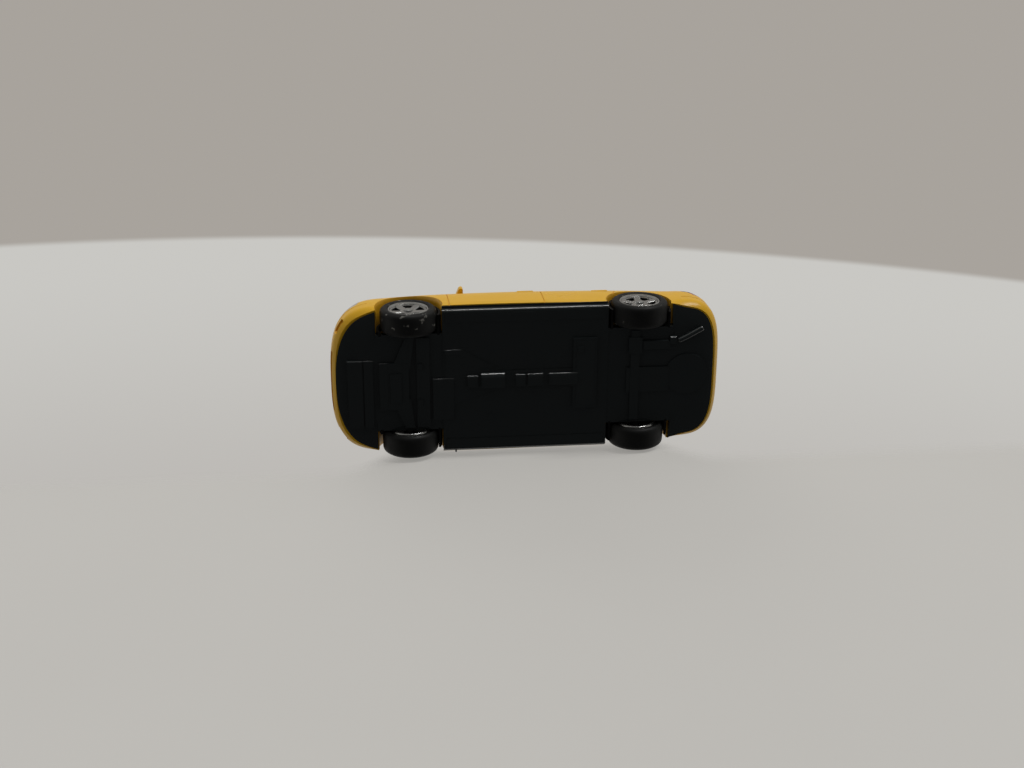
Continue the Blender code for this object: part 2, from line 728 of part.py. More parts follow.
def front_grille():
    """The grille: an insert with level slots pressed into its face."""
    piece = lens("front_grille", grille_prism("grille bar", 0), SHELL_WALL - LENS_RECESS)
    pitch = (GRILLE_HIGH - GRILLE_LOW) / (GRILLE_SLOTS + 1)
    half = GRILLE_WIDTH / 2 - LAMP_CORNER
    for slot in range(1, GRILLE_SLOTS + 1):
        level = GRILLE_LOW + slot * pitch
        low = (-half, NOSE_Y - BEYOND, level - GRILLE_SLOT / 2)
        high = (half, NOSE_Y + NOSE_DEPTH / 2, level + GRILLE_SLOT / 2)
        floor = body_loft(f"slot floor {slot}", RECESS_DEPTH, SKIRT_HEIGHT - BEYOND, 4)
        cut(piece, cut(block(f"grille slot {slot}", low, high), floor))
    return finish(piece, BLACK, 0.4)


def mirrors():
    for name, side in SIDES:
        finish(door_mirror(f"door_mirror_{name}", side), YELLOW, 0.35)


def chassis_plate():
    """The flat floor of the chassis, which the shell's lower edge rests on, and its sill panel."""
    inset, tail_inset = TUCK_IN + PLATE_INSET, TUCK_IN + PLATE_TAIL_INSET
    waist = SILL_WIDTH / 2 - SILL_ROUND
    outline = []
    for x, y in plan_loop(inset, inset, tail_inset):
        between = FRONT_AXLE_Y < y < REAR_AXLE_Y
        outline.append((math.copysign(min(abs(x), waist), x) if between else x, y))
    plate = prism("chassis", outline, "Z", CHASSIS_BOTTOM, CHASSIS_TOP)
    low = (-SILL_WIDTH / 2, SILL_FRONT, CHASSIS_BOTTOM - RELIEF / 3)
    high = (SILL_WIDTH / 2, SILL_REAR, CHASSIS_TOP)
    return join(plate, block("sill panel", low, high, SILL_ROUND, 2))


def wheel_wells():
    """Square openings in the chassis for the four wheels, and for the housings at nose and tail."""
    wells = []
    outer = HOUSING_RADIUS + FIT_GAP
    ends = (
        ("front", FRONT_AXLE_Y - outer, SILL_FRONT),
        ("rear", SILL_REAR, REAR_AXLE_Y + outer),
    )
    for place, front, rear in ends:
        for name, side in SIDES:
            xs = sorted((side * WELL_INNER, side * BODY_WIDTH))
            low = (xs[0], front, CHASSIS_BOTTOM - BEYOND)
            wells.append(block(f"{place} well {name}", low, (xs[1], rear, CHASSIS_TOP + BEYOND)))
    return wells


def axle_saddles():
    """Round-topped walls that close the wheel housings inwards and carry the axles, as (walls, slots)."""
    walls, slots = [], []
    radius = HOUSING_RADIUS - FIT_GAP
    top = TYRE_RADIUS + HOUSING_RADIUS + BEYOND
    slot = AXLE_RADIUS + RUNNING_GAP
    outer = WELL_INNER - FIT_GAP
    steps = BAR_STEPS // 2
    for place, y in (("front", FRONT_AXLE_Y), ("rear", REAR_AXLE_Y)):
        outline = [(y - radius, RELIEF_ROOT), (y + radius, RELIEF_ROOT)]
        for step in range(steps + 1):
            angle = math.pi * step / steps
            outline.append((y + radius * math.cos(angle), TYRE_RADIUS + radius * math.sin(angle)))
        for name, side in SIDES:
            xs = sorted((side * (outer - SADDLE_THICKNESS), side * outer))
            walls.append(prism(f"{place} saddle {name}", outline, "X", *xs))
        mouth = [(y - slot, TYRE_RADIUS), (y + slot, TYRE_RADIUS), (y + slot, top), (y - slot, top)]
        slots.append(prism(f"{place} slot", mouth, "X", -outer - FIT_GAP, outer + FIT_GAP))
        seat_ends = ((-outer - FIT_GAP, y, TYRE_RADIUS), (outer + FIT_GAP, y, TYRE_RADIUS))
        slots.append(rod(f"{place} seat", *seat_ends, slot, BAR_STEPS))
    return walls, slots


def chassis_clips():
    """Long lips that stand up inside the shell's flanks and hold it."""
    tools = []
    middle = (SILL_FRONT + SILL_REAR) / 2
    front_end, rear_end = middle - CLIP_LENGTH / 2, middle + CLIP_LENGTH / 2
    outer = min(half_width(front_end), half_width(rear_end)) - TUCK_IN - SHELL_WALL - FIT_GAP
    for name, side in SIDES:
        xs = sorted((side * (outer - CLIP_THICKNESS), side * outer))
        low = (xs[0], front_end, RELIEF_ROOT)
        high = (xs[1], rear_end, CHASSIS_TOP + CLIP_HEIGHT)
        tools.append(block(f"clip {name}", low, high, CLIP_THICKNESS / 5))
    return tools


def pad(name, right, left, front, rear, depth):
    """A raised oblong on the underside, with softened edges."""
    low = (right, front, CHASSIS_BOTTOM - depth)
    return block(name, low, (left, rear, RELIEF_ROOT), RELIEF_EDGE)


def pipe(name, route, radius):
    """A half-sunk round pipe along a route of plan points, on the underside."""
    rings = []
    for number, (x, y) in enumerate(route):
        before = Vector(route[max(number - 1, 0)])
        after = Vector(route[min(number + 1, len(route) - 1)])
        ahead = (after - before).normalized()
        ring = []
        for step in range(PEG_STEPS):
            angle = 2 * math.pi * (step + 0.5) / PEG_STEPS
            across, down = radius * math.cos(angle), radius * math.sin(angle)
            ring.append((x + across * ahead.y, y - across * ahead.x, CHASSIS_BOTTOM + down))
        rings.append(ring)
    return loft(name, rings)


def front_relief():
    """Bumper tray, sump, subframe and wishbones under the nose."""
    groove_y = FRONT_AXLE_Y - HOUSING_RADIUS
    sump_y = groove_y + GROOVE_WIDTH
    frame_y = FRONT_AXLE_Y + SUBFRAME_SETBACK
    inner = WELL_INNER - RELIEF
    tools = [
        pad("tray", -TRAY_RIGHT, TRAY_LEFT, NOSE_Y + TRAY_FROM_NOSE, groove_y - GROOVE_WIDTH, RELIEF / 2),
        pad("sump", -SUMP_RIGHT, SUMP_LEFT, sump_y, sump_y + SUMP_LENGTH, RELIEF * 1.5),
        pad("subframe", -inner, inner, frame_y, frame_y + SUBFRAME_LENGTH, RELIEF),
    ]
    for name, side in SIDES:
        arm = [
            (side * ARM_ROOT, FRONT_AXLE_Y - ARM_TIP - ARM_SWEEP),
            (side * inner, FRONT_AXLE_Y - ARM_TIP / 2),
            (side * inner, FRONT_AXLE_Y + ARM_TIP / 2),
            (side * ARM_ROOT, FRONT_AXLE_Y),
        ]
        tools.append(prism(f"wishbone {name}", arm, "Z", CHASSIS_BOTTOM - RELIEF * 1.2, RELIEF_ROOT))
    return tools


def middle_relief():
    """Sill strips, tunnel, exhaust and fuel tank under the cabin."""
    sill_x = SILL_WIDTH / 2 - SILL_ROUND - RELIEF_EDGE
    tank_y = SILL_REAR - TANK_SETBACK
    neck = TUNNEL_NARROW / 2
    tunnel = [
        (-TUNNEL_RIGHT, SILL_FRONT + RELIEF),
        (TUNNEL_LEFT, SILL_FRONT + RELIEF),
        (TUNNEL_LEFT, SILL_FRONT + TUNNEL_MOUTH),
        (PIPE_LINE + neck, SILL_FRONT + TUNNEL_NECK),
        (PIPE_LINE + neck, tank_y - TANK_LENGTH / 2),
        (PIPE_LINE - neck, tank_y - TANK_LENGTH / 2),
        (PIPE_LINE - neck, SILL_FRONT + TUNNEL_NECK),
    ]
    catalyser = [(PIPE_LINE, SILL_FRONT + CATALYSER_SETBACK)]
    catalyser.append((PIPE_LINE, SILL_FRONT + CATALYSER_SETBACK + CATALYSER_LENGTH))
    run = [(PIPE_LINE, SILL_FRONT + RELIEF * 2), (PIPE_LINE, tank_y - TANK_LENGTH / 2)]
    tools = [
        prism("tunnel", tunnel, "Z", CHASSIS_BOTTOM - RELIEF * 0.8, RELIEF_ROOT),
        pad("tank", -TANK_RIGHT, TANK_LEFT, tank_y - TANK_LENGTH, tank_y, RELIEF * 1.8),
        pipe("exhaust", run, PIPE_RADIUS),
        pipe("catalyser", catalyser, CATALYSER_RADIUS),
    ]
    for name, side in SIDES:
        xs = sorted((side * (sill_x - SILL_STRIP), side * sill_x))
        tools.append(pad(f"sill strip {name}", *xs, SILL_FRONT + RELIEF, SILL_REAR - RELIEF, RELIEF * 0.7))
    return tools


def rear_relief():
    """Axle beam, differential, silencer with its tail pipe, and spare wheel well under the boot."""
    inner = WELL_INNER - RELIEF
    final_y = REAR_AXLE_Y - DIFFERENTIAL_LENGTH / 2
    half = DIFFERENTIAL_WIDTH / 2
    silencer_y = REAR_AXLE_Y + SILENCER_SETBACK
    silencer_end = silencer_y + SILENCER_LENGTH
    spare_y = TAIL_Y - SPARE_FROM_TAIL
    spare = [(SPARE_LINE, spare_y, CHASSIS_BOTTOM - RELIEF), (SPARE_LINE, spare_y, RELIEF_ROOT)]
    tail_end = (TAIL_PIPE_OUT, TAIL_Y - TAIL_PIPE_FROM_TAIL)
    return [
        pad("beam", -inner, inner, REAR_AXLE_Y - BEAM_LENGTH, REAR_AXLE_Y, RELIEF * 1.2),
        pad("differential", -half, half, final_y, final_y + DIFFERENTIAL_LENGTH, RELIEF),
        pipe("silencer", [(SILENCER_LINE, silencer_y), (SILENCER_LINE, silencer_end)], SILENCER_RADIUS),
        pipe(
            "tail pipe",
            [(SILENCER_LINE, silencer_end - RELIEF), (SILENCER_LINE, silencer_end + RELIEF), tail_end],
            TAIL_PIPE_RADIUS,
        ),
        rod("spare well", *spare, SPARE_RADIUS, ROUND_STEPS),
    ]


def chassis():
    piece = chassis_plate()
    cut(piece, *wheel_wells())
    walls, slots = axle_saddles()
    join(piece, *front_relief(), *middle_relief(), *rear_relief(), *walls, *chassis_clips())
    groove_y = FRONT_AXLE_Y - HOUSING_RADIUS
    low = (-WELL_INNER, groove_y - GROOVE_WIDTH / 2, CHASSIS_BOTTOM - BEYOND)
    high = (WELL_INNER, groove_y + GROOVE_WIDTH / 2, CHASSIS_BOTTOM + RELIEF)
    cut(piece, block("front groove", low, high), *slots)
    return finish(piece, BLACK, 0.3)


def seat(name, x):
    """A front seat as blocks that the tub's moulding joins: cushion, back and headrest."""
    left, right = x + SEAT_WIDTH / 2, x - SEAT_WIDTH / 2
    rest_left, rest_right = x + SEAT_WIDTH / 4, x - SEAT_WIDTH / 4
    rear = PILLAR_Y + SEAT_BEHIND_PILLAR
    front, knee = rear - SEAT_BACK_THICKNESS, rear - SEAT_DEPTH
    sunk = TUB_TOP - TUB_FLOOR / 2
    rest_root = SEAT_BACK_TOP - CUSHION_ROUND
    return [
        block(f"{name} cushion", (right, knee, sunk), (left, rear, SEAT_CUSHION_TOP), CUSHION_ROUND),
        block(f"{name} back", (right, front, TUB_TOP), (left, rear, SEAT_BACK_TOP), CUSHION_ROUND * 0.8),
        block(f"{name} rest", (rest_right, front, rest_root), (rest_left, rear, HEADREST_TOP), CUSHION_ROUND),
    ]


def axle_keepers(front_root, rear_root):
    """Tongues on the tub that reach over the two axles and keep them in their saddles."""
    half = KEEPER_WIDTH / 2
    level = AXLE_TOP + RUNNING_GAP
    tongues = (
        ("front keeper", FRONT_AXLE_Y - AXLE_RADIUS * 2, front_root),
        ("rear keeper", rear_root, REAR_AXLE_Y + AXLE_RADIUS * 2),
    )
    blocks = []
    for name, front, rear in tongues:
        high = (half, rear, level + KEEPER_THICKNESS)
        blocks.append(block(name, (-half, front, level), high, KEEPER_THICKNESS / 4))
    return blocks


def dash_front():
    return SCREEN_BASE_Y + DASH_SETBACK


def steering_place():
    """Hub of the steering wheel, and the direction in which its column runs into the dashboard."""
    down = Vector((0, -math.cos(STEERING_RAKE), -math.sin(STEERING_RAKE)))
    hub = Vector((SEAT_X, dash_front() + DASH_DEPTH, DASH_TOP - STEERING_RADIUS))
    return hub - down * COLUMN_LENGTH * 0.55, down


def interior_tub():
    """Floor, seats, dashboard and parcel shelf in one grey moulding that stands on the chassis."""
    half = TUB_WIDTH / 2
    dash_y = dash_front()
    bench_y = REAR_AXLE_Y - HOUSING_RADIUS - BENCH_ARCH_GAP
    back_front = bench_y - SEAT_BACK_THICKNESS
    back_half, shelf_half, console_half = BENCH_BACK_WIDTH / 2, SHELF_WIDTH / 2, CONSOLE_WIDTH / 2
    sunk = TUB_TOP - TUB_FLOOR / 2
    shelf_top = SEAT_BACK_TOP - CUSHION_ROUND
    edge = TUB_FLOOR / 4
    tub = block("interior_tub", (-half, dash_y, TUB_BASE), (half, bench_y, TUB_TOP), edge)
    dash_low, dash_high = (-half + edge, dash_y + edge, sunk), (half - edge, dash_y + DASH_DEPTH, DASH_TOP)
    console_low = (-console_half, dash_y + edge, sunk)
    console_high = (console_half, bench_y - edge, TUB_TOP + CONSOLE_RISE)
    bench_low = (-half + edge, bench_y - BENCH_DEPTH, sunk)
    back_high = (back_half, bench_y - edge * 2, SEAT_BACK_TOP)
    shelf_low = (-shelf_half, back_front + CUSHION_ROUND, shelf_top - SHELF_THICKNESS)
    join(
        tub,
        block("dashboard", dash_low, dash_high, CUSHION_ROUND),
        block("console", console_low, console_high, edge),
        block("bench", bench_low, (half - edge, bench_y - edge, SEAT_CUSHION_TOP), CUSHION_ROUND),
        block("bench back", (-back_half, back_front, TUB_TOP), back_high, CUSHION_ROUND),
        block("parcel shelf", shelf_low, (shelf_half, bench_y + SHELF_DEPTH - CUSHION_ROUND, shelf_top)),
        *axle_keepers(dash_y + DASH_DEPTH / 2, bench_y - BENCH_DEPTH / 2),
    )
    for name, side in SIDES:
        join(tub, *seat(f"seat {name}", side * SEAT_X))
    hub, down = steering_place()
    bottom = hub + down * (COLUMN_LENGTH + FIT_GAP)
    cut(tub, rod("column socket", hub, bottom, COLUMN_RADIUS + FIT_GAP, PEG_STEPS))
    return finish(tub, DARK_GREY, 0.6)


def steering_ring():
    """The bare rim of the steering wheel, turned about the X axis."""
    sides = 6
    section = []
    for step in range(sides):
        angle = 2 * math.pi * step / sides
        section.append((STEERING_RIM * math.sin(angle), STEERING_RADIUS + STEERING_RIM * math.cos(angle)))
    return turned("steering_wheel", section, RIM_STEPS)


def steering_wheel():
    """A ring with a three-armed hub on the end of its column, which points along its own X axis."""
    hub, down = steering_place()
    wheel = steering_ring()
    for number in range(3):
        angle = math.radians(33 + 120 * number)
        end = Vector((0, math.cos(angle), math.sin(angle))) * STEERING_RADIUS
        join(wheel, rod(f"spoke {number}", end * 0.2, end, STEERING_RIM * 0.75, 5))
    join(wheel, rod("hub", (-STEERING_RIM, 0, 0), (STEERING_RIM, 0, 0), STEERING_RADIUS / 3, BAR_STEPS))
    join(wheel, rod("column", (STEERING_RIM / 2, 0, 0), (COLUMN_LENGTH, 0, 0), COLUMN_RADIUS, PEG_STEPS))
    turn = Matrix((down, Vector((1, 0, 0)), down.cross(Vector((1, 0, 0))))).transposed().to_4x4()
    for obj in [wheel] + tools_of(wheel):
        obj.matrix_world = Matrix.Translation(hub) @ turn
    return finish(wheel, BLACK, 0.5)


def tyre_profile():
    """A smooth tyre's section as (along the axle, radius)."""
    half = TYRE_WIDTH / 2
    bead = RIM_RADIUS + FIT_GAP
    wall = TYRE_RADIUS - bead
    outer = [
        (half - wall * 0.08, bead),
        (half, bead + wall * 0.45),
        (half - wall * 0.16, TYRE_RADIUS - wall * 0.14),
        (half - wall * 0.42, TYRE_RADIUS),
    ]
    return outer + [(-along, radius) for along, radius in reversed(outer)]


def rim_profile():
    """A rim's section: cap, spoke disc, lip, barrel and the boss with its blind bore."""
    half = TYRE_WIDTH / 2
    lip = half - RIM_LIP_INSET
    disc = half - RIM_DISC_INSET
    back = disc - RIM_DISC
    inside = RIM_RADIUS - RIM_WALL
    boss = AXLE_RADIUS * 2
    bore = AXLE_RADIUS + FIT_GAP / 2
    return [
        (disc + RIM_CAP_RISE, 0.0),
        (disc + RIM_CAP_RISE, RIM_CAP_RADIUS),
        (disc, RIM_CAP_RADIUS + RIM_CAP_RISE * 1.6),
        (disc - RIM_CAP_RISE / 2, inside),
        (lip, RIM_RADIUS - RIM_WALL / 2),
        (lip, RIM_RADIUS),
        (-lip, RIM_RADIUS),
        (-lip, inside),
        (back, inside),
        (back, boss),
        (-half / 2, boss),
        (-half / 2, bore),
        (back, bore),
        (back, 0.0),
    ]


def rim(name):
    """A wheel with an opening between each two spokes."""
    piece = turned(name, rim_profile(), RIM_STEPS)
    tip = RIM_RADIUS - RIM_WALL - RIM_LIP_INSET
    for number in range(SPOKE_COUNT):
        middle = 2 * math.pi * number / SPOKE_COUNT
        corners = []
        for radius, sense in ((SPOKE_ROOT, -1), (tip, -1), (tip, 1), (SPOKE_ROOT, 1)):
            swing = math.pi / SPOKE_COUNT - math.asin(SPOKE_WIDTH / 2 / radius)
            angle = middle + sense * swing
            corners.append((radius * math.sin(angle), radius * math.cos(angle)))
        cut(piece, prism(f"{name} opening {number}", corners, "X", 0.0, TYRE_WIDTH))
    return piece


def wheelset(place, y):
    """An axle with its two wheels, hung on an empty at the axle's middle."""
    pivot = bpy.data.objects.new(f"{place} wheelset", None)
    bpy.context.scene.collection.objects.link(pivot)
    pivot.location = (0, y, TYRE_RADIUS)
    centre = (OUTER_TRACK - TYRE_WIDTH) / 2
    reach = OUTER_TRACK / 2 - RIM_DISC_INSET - RIM_DISC - FIT_GAP
    axle = rod(f"{place}_axle", (-reach, 0, 0), (reach, 0, 0), AXLE_RADIUS, BAR_STEPS)
    pieces = [finish(axle, STEEL, 0.3, 1.0)]
    for name, side in SIDES:
        wheel = finish(rim(f"{place}_{name}_rim"), SILVER, 0.35, 0.9)
        ring = turned(f"{place}_{name}_tyre", tyre_profile(), TYRE_STEPS)
        finish(ring, RUBBER, 0.5)
        corner = [wheel, ring] + tools_of(wheel)
        for obj in corner:
            obj.location.x = side * centre
            obj.rotation_euler.z = 0 if side > 0 else math.pi
        pieces += corner
    for piece in pieces:
        piece.parent = pivot


def build():
    clear_scene()
    body_shell()
    glazing()
    lamps()
    front_grille()
    mirrors()
    chassis()
    interior_tub()
    steering_wheel()
    wheelset("front", FRONT_AXLE_Y)
    wheelset("rear", REAR_AXLE_Y)


build()
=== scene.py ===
import math

import bmesh
import bpy
from mathutils import Matrix, Vector


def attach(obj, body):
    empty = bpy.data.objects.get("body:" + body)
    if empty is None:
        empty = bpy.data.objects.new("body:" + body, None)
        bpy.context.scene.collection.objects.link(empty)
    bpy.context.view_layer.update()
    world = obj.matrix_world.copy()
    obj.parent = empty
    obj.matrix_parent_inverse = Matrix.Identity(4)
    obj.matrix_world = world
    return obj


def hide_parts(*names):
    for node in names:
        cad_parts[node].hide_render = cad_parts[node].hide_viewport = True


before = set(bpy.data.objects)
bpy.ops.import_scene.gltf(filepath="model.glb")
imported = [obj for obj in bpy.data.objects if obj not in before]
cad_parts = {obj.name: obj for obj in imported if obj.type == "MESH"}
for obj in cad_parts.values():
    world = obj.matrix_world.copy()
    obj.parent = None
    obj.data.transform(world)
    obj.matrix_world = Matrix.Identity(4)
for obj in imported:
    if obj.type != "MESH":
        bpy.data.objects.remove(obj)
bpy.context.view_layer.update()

# ----------------------------------------
# Chassis: the floor of the car, one glossy black plastic moulding pressed into the yellow shell.
# Its underside carries the running gear of the real car in low relief: bumper tray, sump and
# wishbones, tunnel with exhaust, fuel tank, axle beam, silencer and the well of the spare wheel.

# Sizes are in millimetres, x to the car's left, y to its tail, z up from the road.
METRES = 0.001
WIDTH, NOSE, TAIL = 19.6, -24.5, 24.5
FRONT_AXLE, REAR_AXLE, AXLE_HEIGHT = -14.74, 14.06, 3.53
WIDEST, FLANK_BOW = -4.0, 417.0
NOSE_DEPTH, NOSE_POWER = 7.0, 3.0
TAIL_DEPTH, TAIL_POWER = 6.0, 3.6
HOUSING_RADIUS, WELL_INNER, FIT = 4.58, 6.34, 0.06
PLATE_BOTTOM, PLATE_TOP, RELIEF_ROOT = 2.2, 3.0, 2.92
SILL_HALF, SILL_FRONT, SILL_REAR, SILL_BOTTOM, SILL_ROUND = 9.36, -10.66, 9.98, 2.1, 0.38
SHADE_FLANGE_HALF, WELL_REACH, FRONT_LINING, REAR_LINING = 9.62, 4.14, 6.75, 8.3


def mix(start, end, share):
    """A value at a share of the way from start to end."""
    return start + (end - start) * share


def half_width(y):
    """Half the car's width at y, along the long arc of its flank."""
    return WIDTH / 2 - FLANK_BOW + math.sqrt(FLANK_BOW**2 - (y - WIDEST) ** 2)


def plan_edge(y, inset):
    """Half the width of the plan outline at y, moved in by inset all round."""
    nose_end, tail_start = NOSE + NOSE_DEPTH, TAIL - TAIL_DEPTH
    if y < nose_end:
        run = min(1.0, (nose_end - y) / (NOSE_DEPTH - inset))
        return (half_width(nose_end) - inset) * (1 - run**NOSE_POWER) ** (1 / NOSE_POWER)
    if y > tail_start:
        run = min(1.0, (y - tail_start) / (TAIL_DEPTH - inset))
        return (half_width(tail_start) - inset) * (1 - run**TAIL_POWER) ** (1 / TAIL_POWER)
    return half_width(y) - inset


def bow(step, steps, power):
    """A point on a quarter of a rounded square, on its way from (0, 1) to (1, 0)."""
    angle = math.pi / 2 * step / steps
    return math.sin(angle) ** (2 / power), math.cos(angle) ** (2 / power)


def plan_loop(side, front, rear, steps=26, flank_steps=44):
    """The plan outline as (x, y), from the nose round the left side, moved in by these amounts."""
    nose_end, tail_start = NOSE + NOSE_DEPTH, TAIL - TAIL_DEPTH
    left = []
    for step in range(steps):
        across, along = bow(step, steps, NOSE_POWER)
        left.append(((half_width(nose_end) - side) * across, nose_end - (NOSE_DEPTH - front) * along))
    for step in range(flank_steps):
        y = mix(nose_end, tail_start, step / flank_steps)
        left.append((half_width(y) - side, y))
    for step in range(steps):
        along, across = bow(step, steps, TAIL_POWER)
        left.append(((half_width(tail_start) - side) * across, tail_start + (TAIL_DEPTH - rear) * along))
    left.append((0.0, TAIL - rear))
    return left + [(-x, y) for x, y in left[-2:0:-1]]


def rounded(bm, geom, offset, segments=3, affect="EDGES"):
    """Rounds edges, or the corners of an outline."""
    bmesh.ops.bevel(bm, geom=geom, offset=offset, segments=segments, profile=0.5, affect=affect,
                    material=-1, clamp_overlap=True)


def block(low, high, edge=0.0):
    """A box between two corners with its edges rounded."""
    low, high = Vector(low), Vector(high)
    bm = bmesh.new()
    bmesh.ops.create_cube(bm, size=1.0)
    bmesh.ops.scale(bm, vec=high - low, verts=bm.verts)
    bmesh.ops.translate(bm, vec=(low + high) / 2, verts=bm.verts)
    if edge:
        rounded(bm, bm.edges[:], edge)
    return bm


def push(bm, travel):
    """Pushes all faces of a shape along, with walls behind them."""
    moved = bmesh.ops.extrude_face_region(bm, geom=bm.faces[:])["geom"]
    bmesh.ops.translate(bm, vec=travel, verts=[v for v in moved if isinstance(v, bmesh.types.BMVert)])
    bmesh.ops.recalc_face_normals(bm, faces=bm.faces[:])


def prism(outline, along, start, end, corner=0.0, edge=0.0):
    """An outline pushed along an axis, its corners and then its rims rounded.

    The outline's two coordinates lie on the other two axes, in x, y, z order.
    """
    axis, sharp, corner_segments = "xyz".index(along), math.radians(40), 5
    others = [i for i in range(3) if i != axis]
    bm = bmesh.new()
    verts = []
    for pair in outline:
        point = Vector((0, 0, 0))
        point[axis] = start
        point[others[0]], point[others[1]] = pair
        verts.append(bm.verts.new(point))
    bm.faces.new(verts)
    if corner:
        rounded(bm, verts, corner, corner_segments, "VERTICES")
    travel = Vector((0, 0, 0))
    travel[axis] = end - start
    push(bm, travel)
    if edge:
        rounded(bm, [e for e in bm.edges if e.calc_face_angle(0.0) > sharp], edge)
    return bm


def edge_loop(bm, points):
    """A closed loop of edges through points."""
    verts = [bm.verts.new(point) for point in points]
    return [bm.edges.new(pair) for pair in zip(verts, verts[1:] + verts[:1])]


def loft(rings):
    """A closed skin through rings of equal point counts, with a flat face on each end."""
    bm = bmesh.new()
    loops = [edge_loop(bm, ring) for ring in rings]
    for lower, upper in zip(loops, loops[1:]):
        bmesh.ops.bridge_loops(bm, edges=lower + upper)
    for end in (loops[0], loops[-1]):
        bmesh.ops.edgeloop_fill(bm, edges=end)
    bmesh.ops.recalc_face_normals(bm, faces=bm.faces[:])
    return bm


def circle(steps):
    """Angles at even steps round a full turn."""
    return [2 * math.pi * step / steps for step in range(steps)]


def span(side, *xs):
    """Distances from the centre plane as x on one side of the car, the lowest first."""
    return sorted(side * x for x in xs)


def neighbours(path, number):
    """The places before and after one on a path; at an end of the path, the end itself."""
    return path[max(number - 1, 0)], path[min(number + 1, len(path) - 1)]


def pipe(route, radius, sides=20):
    """A round pipe with domed ends through a route of points."""
    route, rings = [Vector(point) for point in route], []
    dome, tip = 0.3, 0.8

    def ring(centre, ahead, size):
        across = ahead.cross(Vector((0, 0, 1)) if abs(ahead.z) < 0.9 else Vector((0, 1, 0))).normalized()
        up = across.cross(ahead)
        rings.append([centre + (across * math.cos(a) + up * math.sin(a)) * size for a in circle(sides)])

    for number, point in enumerate(route):
        before, after = neighbours(route, number)
        ahead = (after - before).normalized()
        if number == 0:
            ring(point - ahead * radius * dome, ahead, radius * tip)
        ring(point, ahead, radius)
        if number == len(route) - 1:
            ring(point + ahead * radius * dome, ahead, radius * tip)
    return loft(rings)


def gather(*shapes):
    """Puts closed shapes together in one mesh."""
    whole = bmesh.new()
    for shape in shapes:
        mesh = bpy.data.meshes.new("shape")
        shape.to_mesh(mesh)
        shape.free()
        whole.from_mesh(mesh)
        bpy.data.meshes.remove(mesh)
    return whole


def add_object(name, data):
    """Puts an object into the scene."""
    obj = bpy.data.objects.new(name, data)
    bpy.context.scene.collection.objects.link(obj)
    return obj


def make_object(name, bm):
    """Turns a shape into an object, in metres."""
    bmesh.ops.scale(bm, vec=(METRES, METRES, METRES), verts=bm.verts)
    mesh = bpy.data.meshes.new(name)
    bm.to_mesh(mesh)
    bm.free()
    return add_object(name, mesh)


def in_material(bm, number):
    """Gives all faces of a shape one of its materials, by number."""
    for face in bm.faces:
        face.material_index = number
    return bm


def fit_piece(obj, body, nodes, materials, sharp=32):
    """Finishes a piece: its materials, smooth shading between sharp edges, and its place on the car."""
    for material in materials:
        obj.data.materials.append(material)
    obj.data.shade_smooth()
    obj.data.set_sharp_from_angle(angle=math.radians(sharp))
    evening = obj.modifiers.new("even shading", "WEIGHTED_NORMAL")
    evening.keep_sharp = True
    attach(obj, body)
    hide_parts(*nodes)
    return obj


def feed(tree, socket, value):
    """Links a socket to another one, or sets its value."""
    if isinstance(value, bpy.types.NodeSocket):
        tree.links.new(value, socket)
    else:
        socket.default_value = value


def add_node(tree, kind, *inputs, **named):
    """Adds a shader node; small-letter names are its settings, others its sockets, with _ for a space."""
    node = tree.nodes.new("ShaderNode" + kind)
    for name in [n for n in named if n.islower()]:
        setattr(node, name, named.pop(name))
    for socket, value in zip(node.inputs, inputs):
        feed(tree, socket, value)
    for name, value in named.items():
        feed(tree, node.inputs[name.replace("_", " ")], value)
    return node


def blend(tree, share, first, second):
    """A colour between two colours."""
    return add_node(tree, "Mix", data_type="RGBA", Factor=share, A=first, B=second).outputs["Result"]


def ramp(tree, value, low, high, **named):
    """A value that runs from 0 to 1 between two limits, unless named otherwise."""
    return add_node(tree, "MapRange", Value=value, From_Min=low, From_Max=high, **named).outputs["Result"]


def figure(tree, operation, *values):
    """What a Math node makes of values that change over the surface."""
    return add_node(tree, "Math", *values, operation=operation).outputs["Value"]


def noise(tree, place, scale, detail=2.0):
    """Soft random clouds, from 0 to 1."""
    return add_node(tree, "TexNoise", Vector=place, Scale=scale, Detail=detail).outputs["Fac"]


def on_piece(tree):
    """The place on a piece, in millimetres."""
    place = add_node(tree, "TexCoord").outputs["Object"]
    return add_node(tree, "VectorMath", place, operation="SCALE", Scale=1 / METRES).outputs["Vector"]


def node_group(name, given, result):
    """An empty group with its inputs and outputs; a socket with Colour in its name is a colour."""
    group = bpy.data.node_groups.new(name, "ShaderNodeTree")
    for way, sockets in (("INPUT", given), ("OUTPUT", result)):
        for socket in sockets:
            kind = "NodeSocketColor" if "Colour" in socket else "NodeSocketFloat"
            group.interface.new_socket(name=socket, in_out=way, socket_type=kind)
    return group, group.nodes.new("NodeGroupInput").outputs, group.nodes.new("NodeGroupOutput").inputs


def moulded_skin():
    """Shared look of moulded plastic: faint flow clouds, uneven gloss and a fine grain."""
    group, given, result = node_group(
        "moulded_skin", ("Colour", "Flow Colour", "Flow Scale", "Grain Scale", "Smooth", "Rough"),
        ("Colour", "Roughness", "Height"))
    place = on_piece(group)
    flow = noise(group, place, given["Flow Scale"], 4.0)
    feed(group, result["Colour"], blend(group, flow, given["Colour"], given["Flow Colour"]))
    feed(group, result["Roughness"],
         ramp(group, flow, 0.3, 0.7, To_Min=given["Smooth"], To_Max=given["Rough"]))
    feed(group, result["Height"], noise(group, place, given["Grain Scale"]))
    return group


MOULDED_SKIN = moulded_skin()


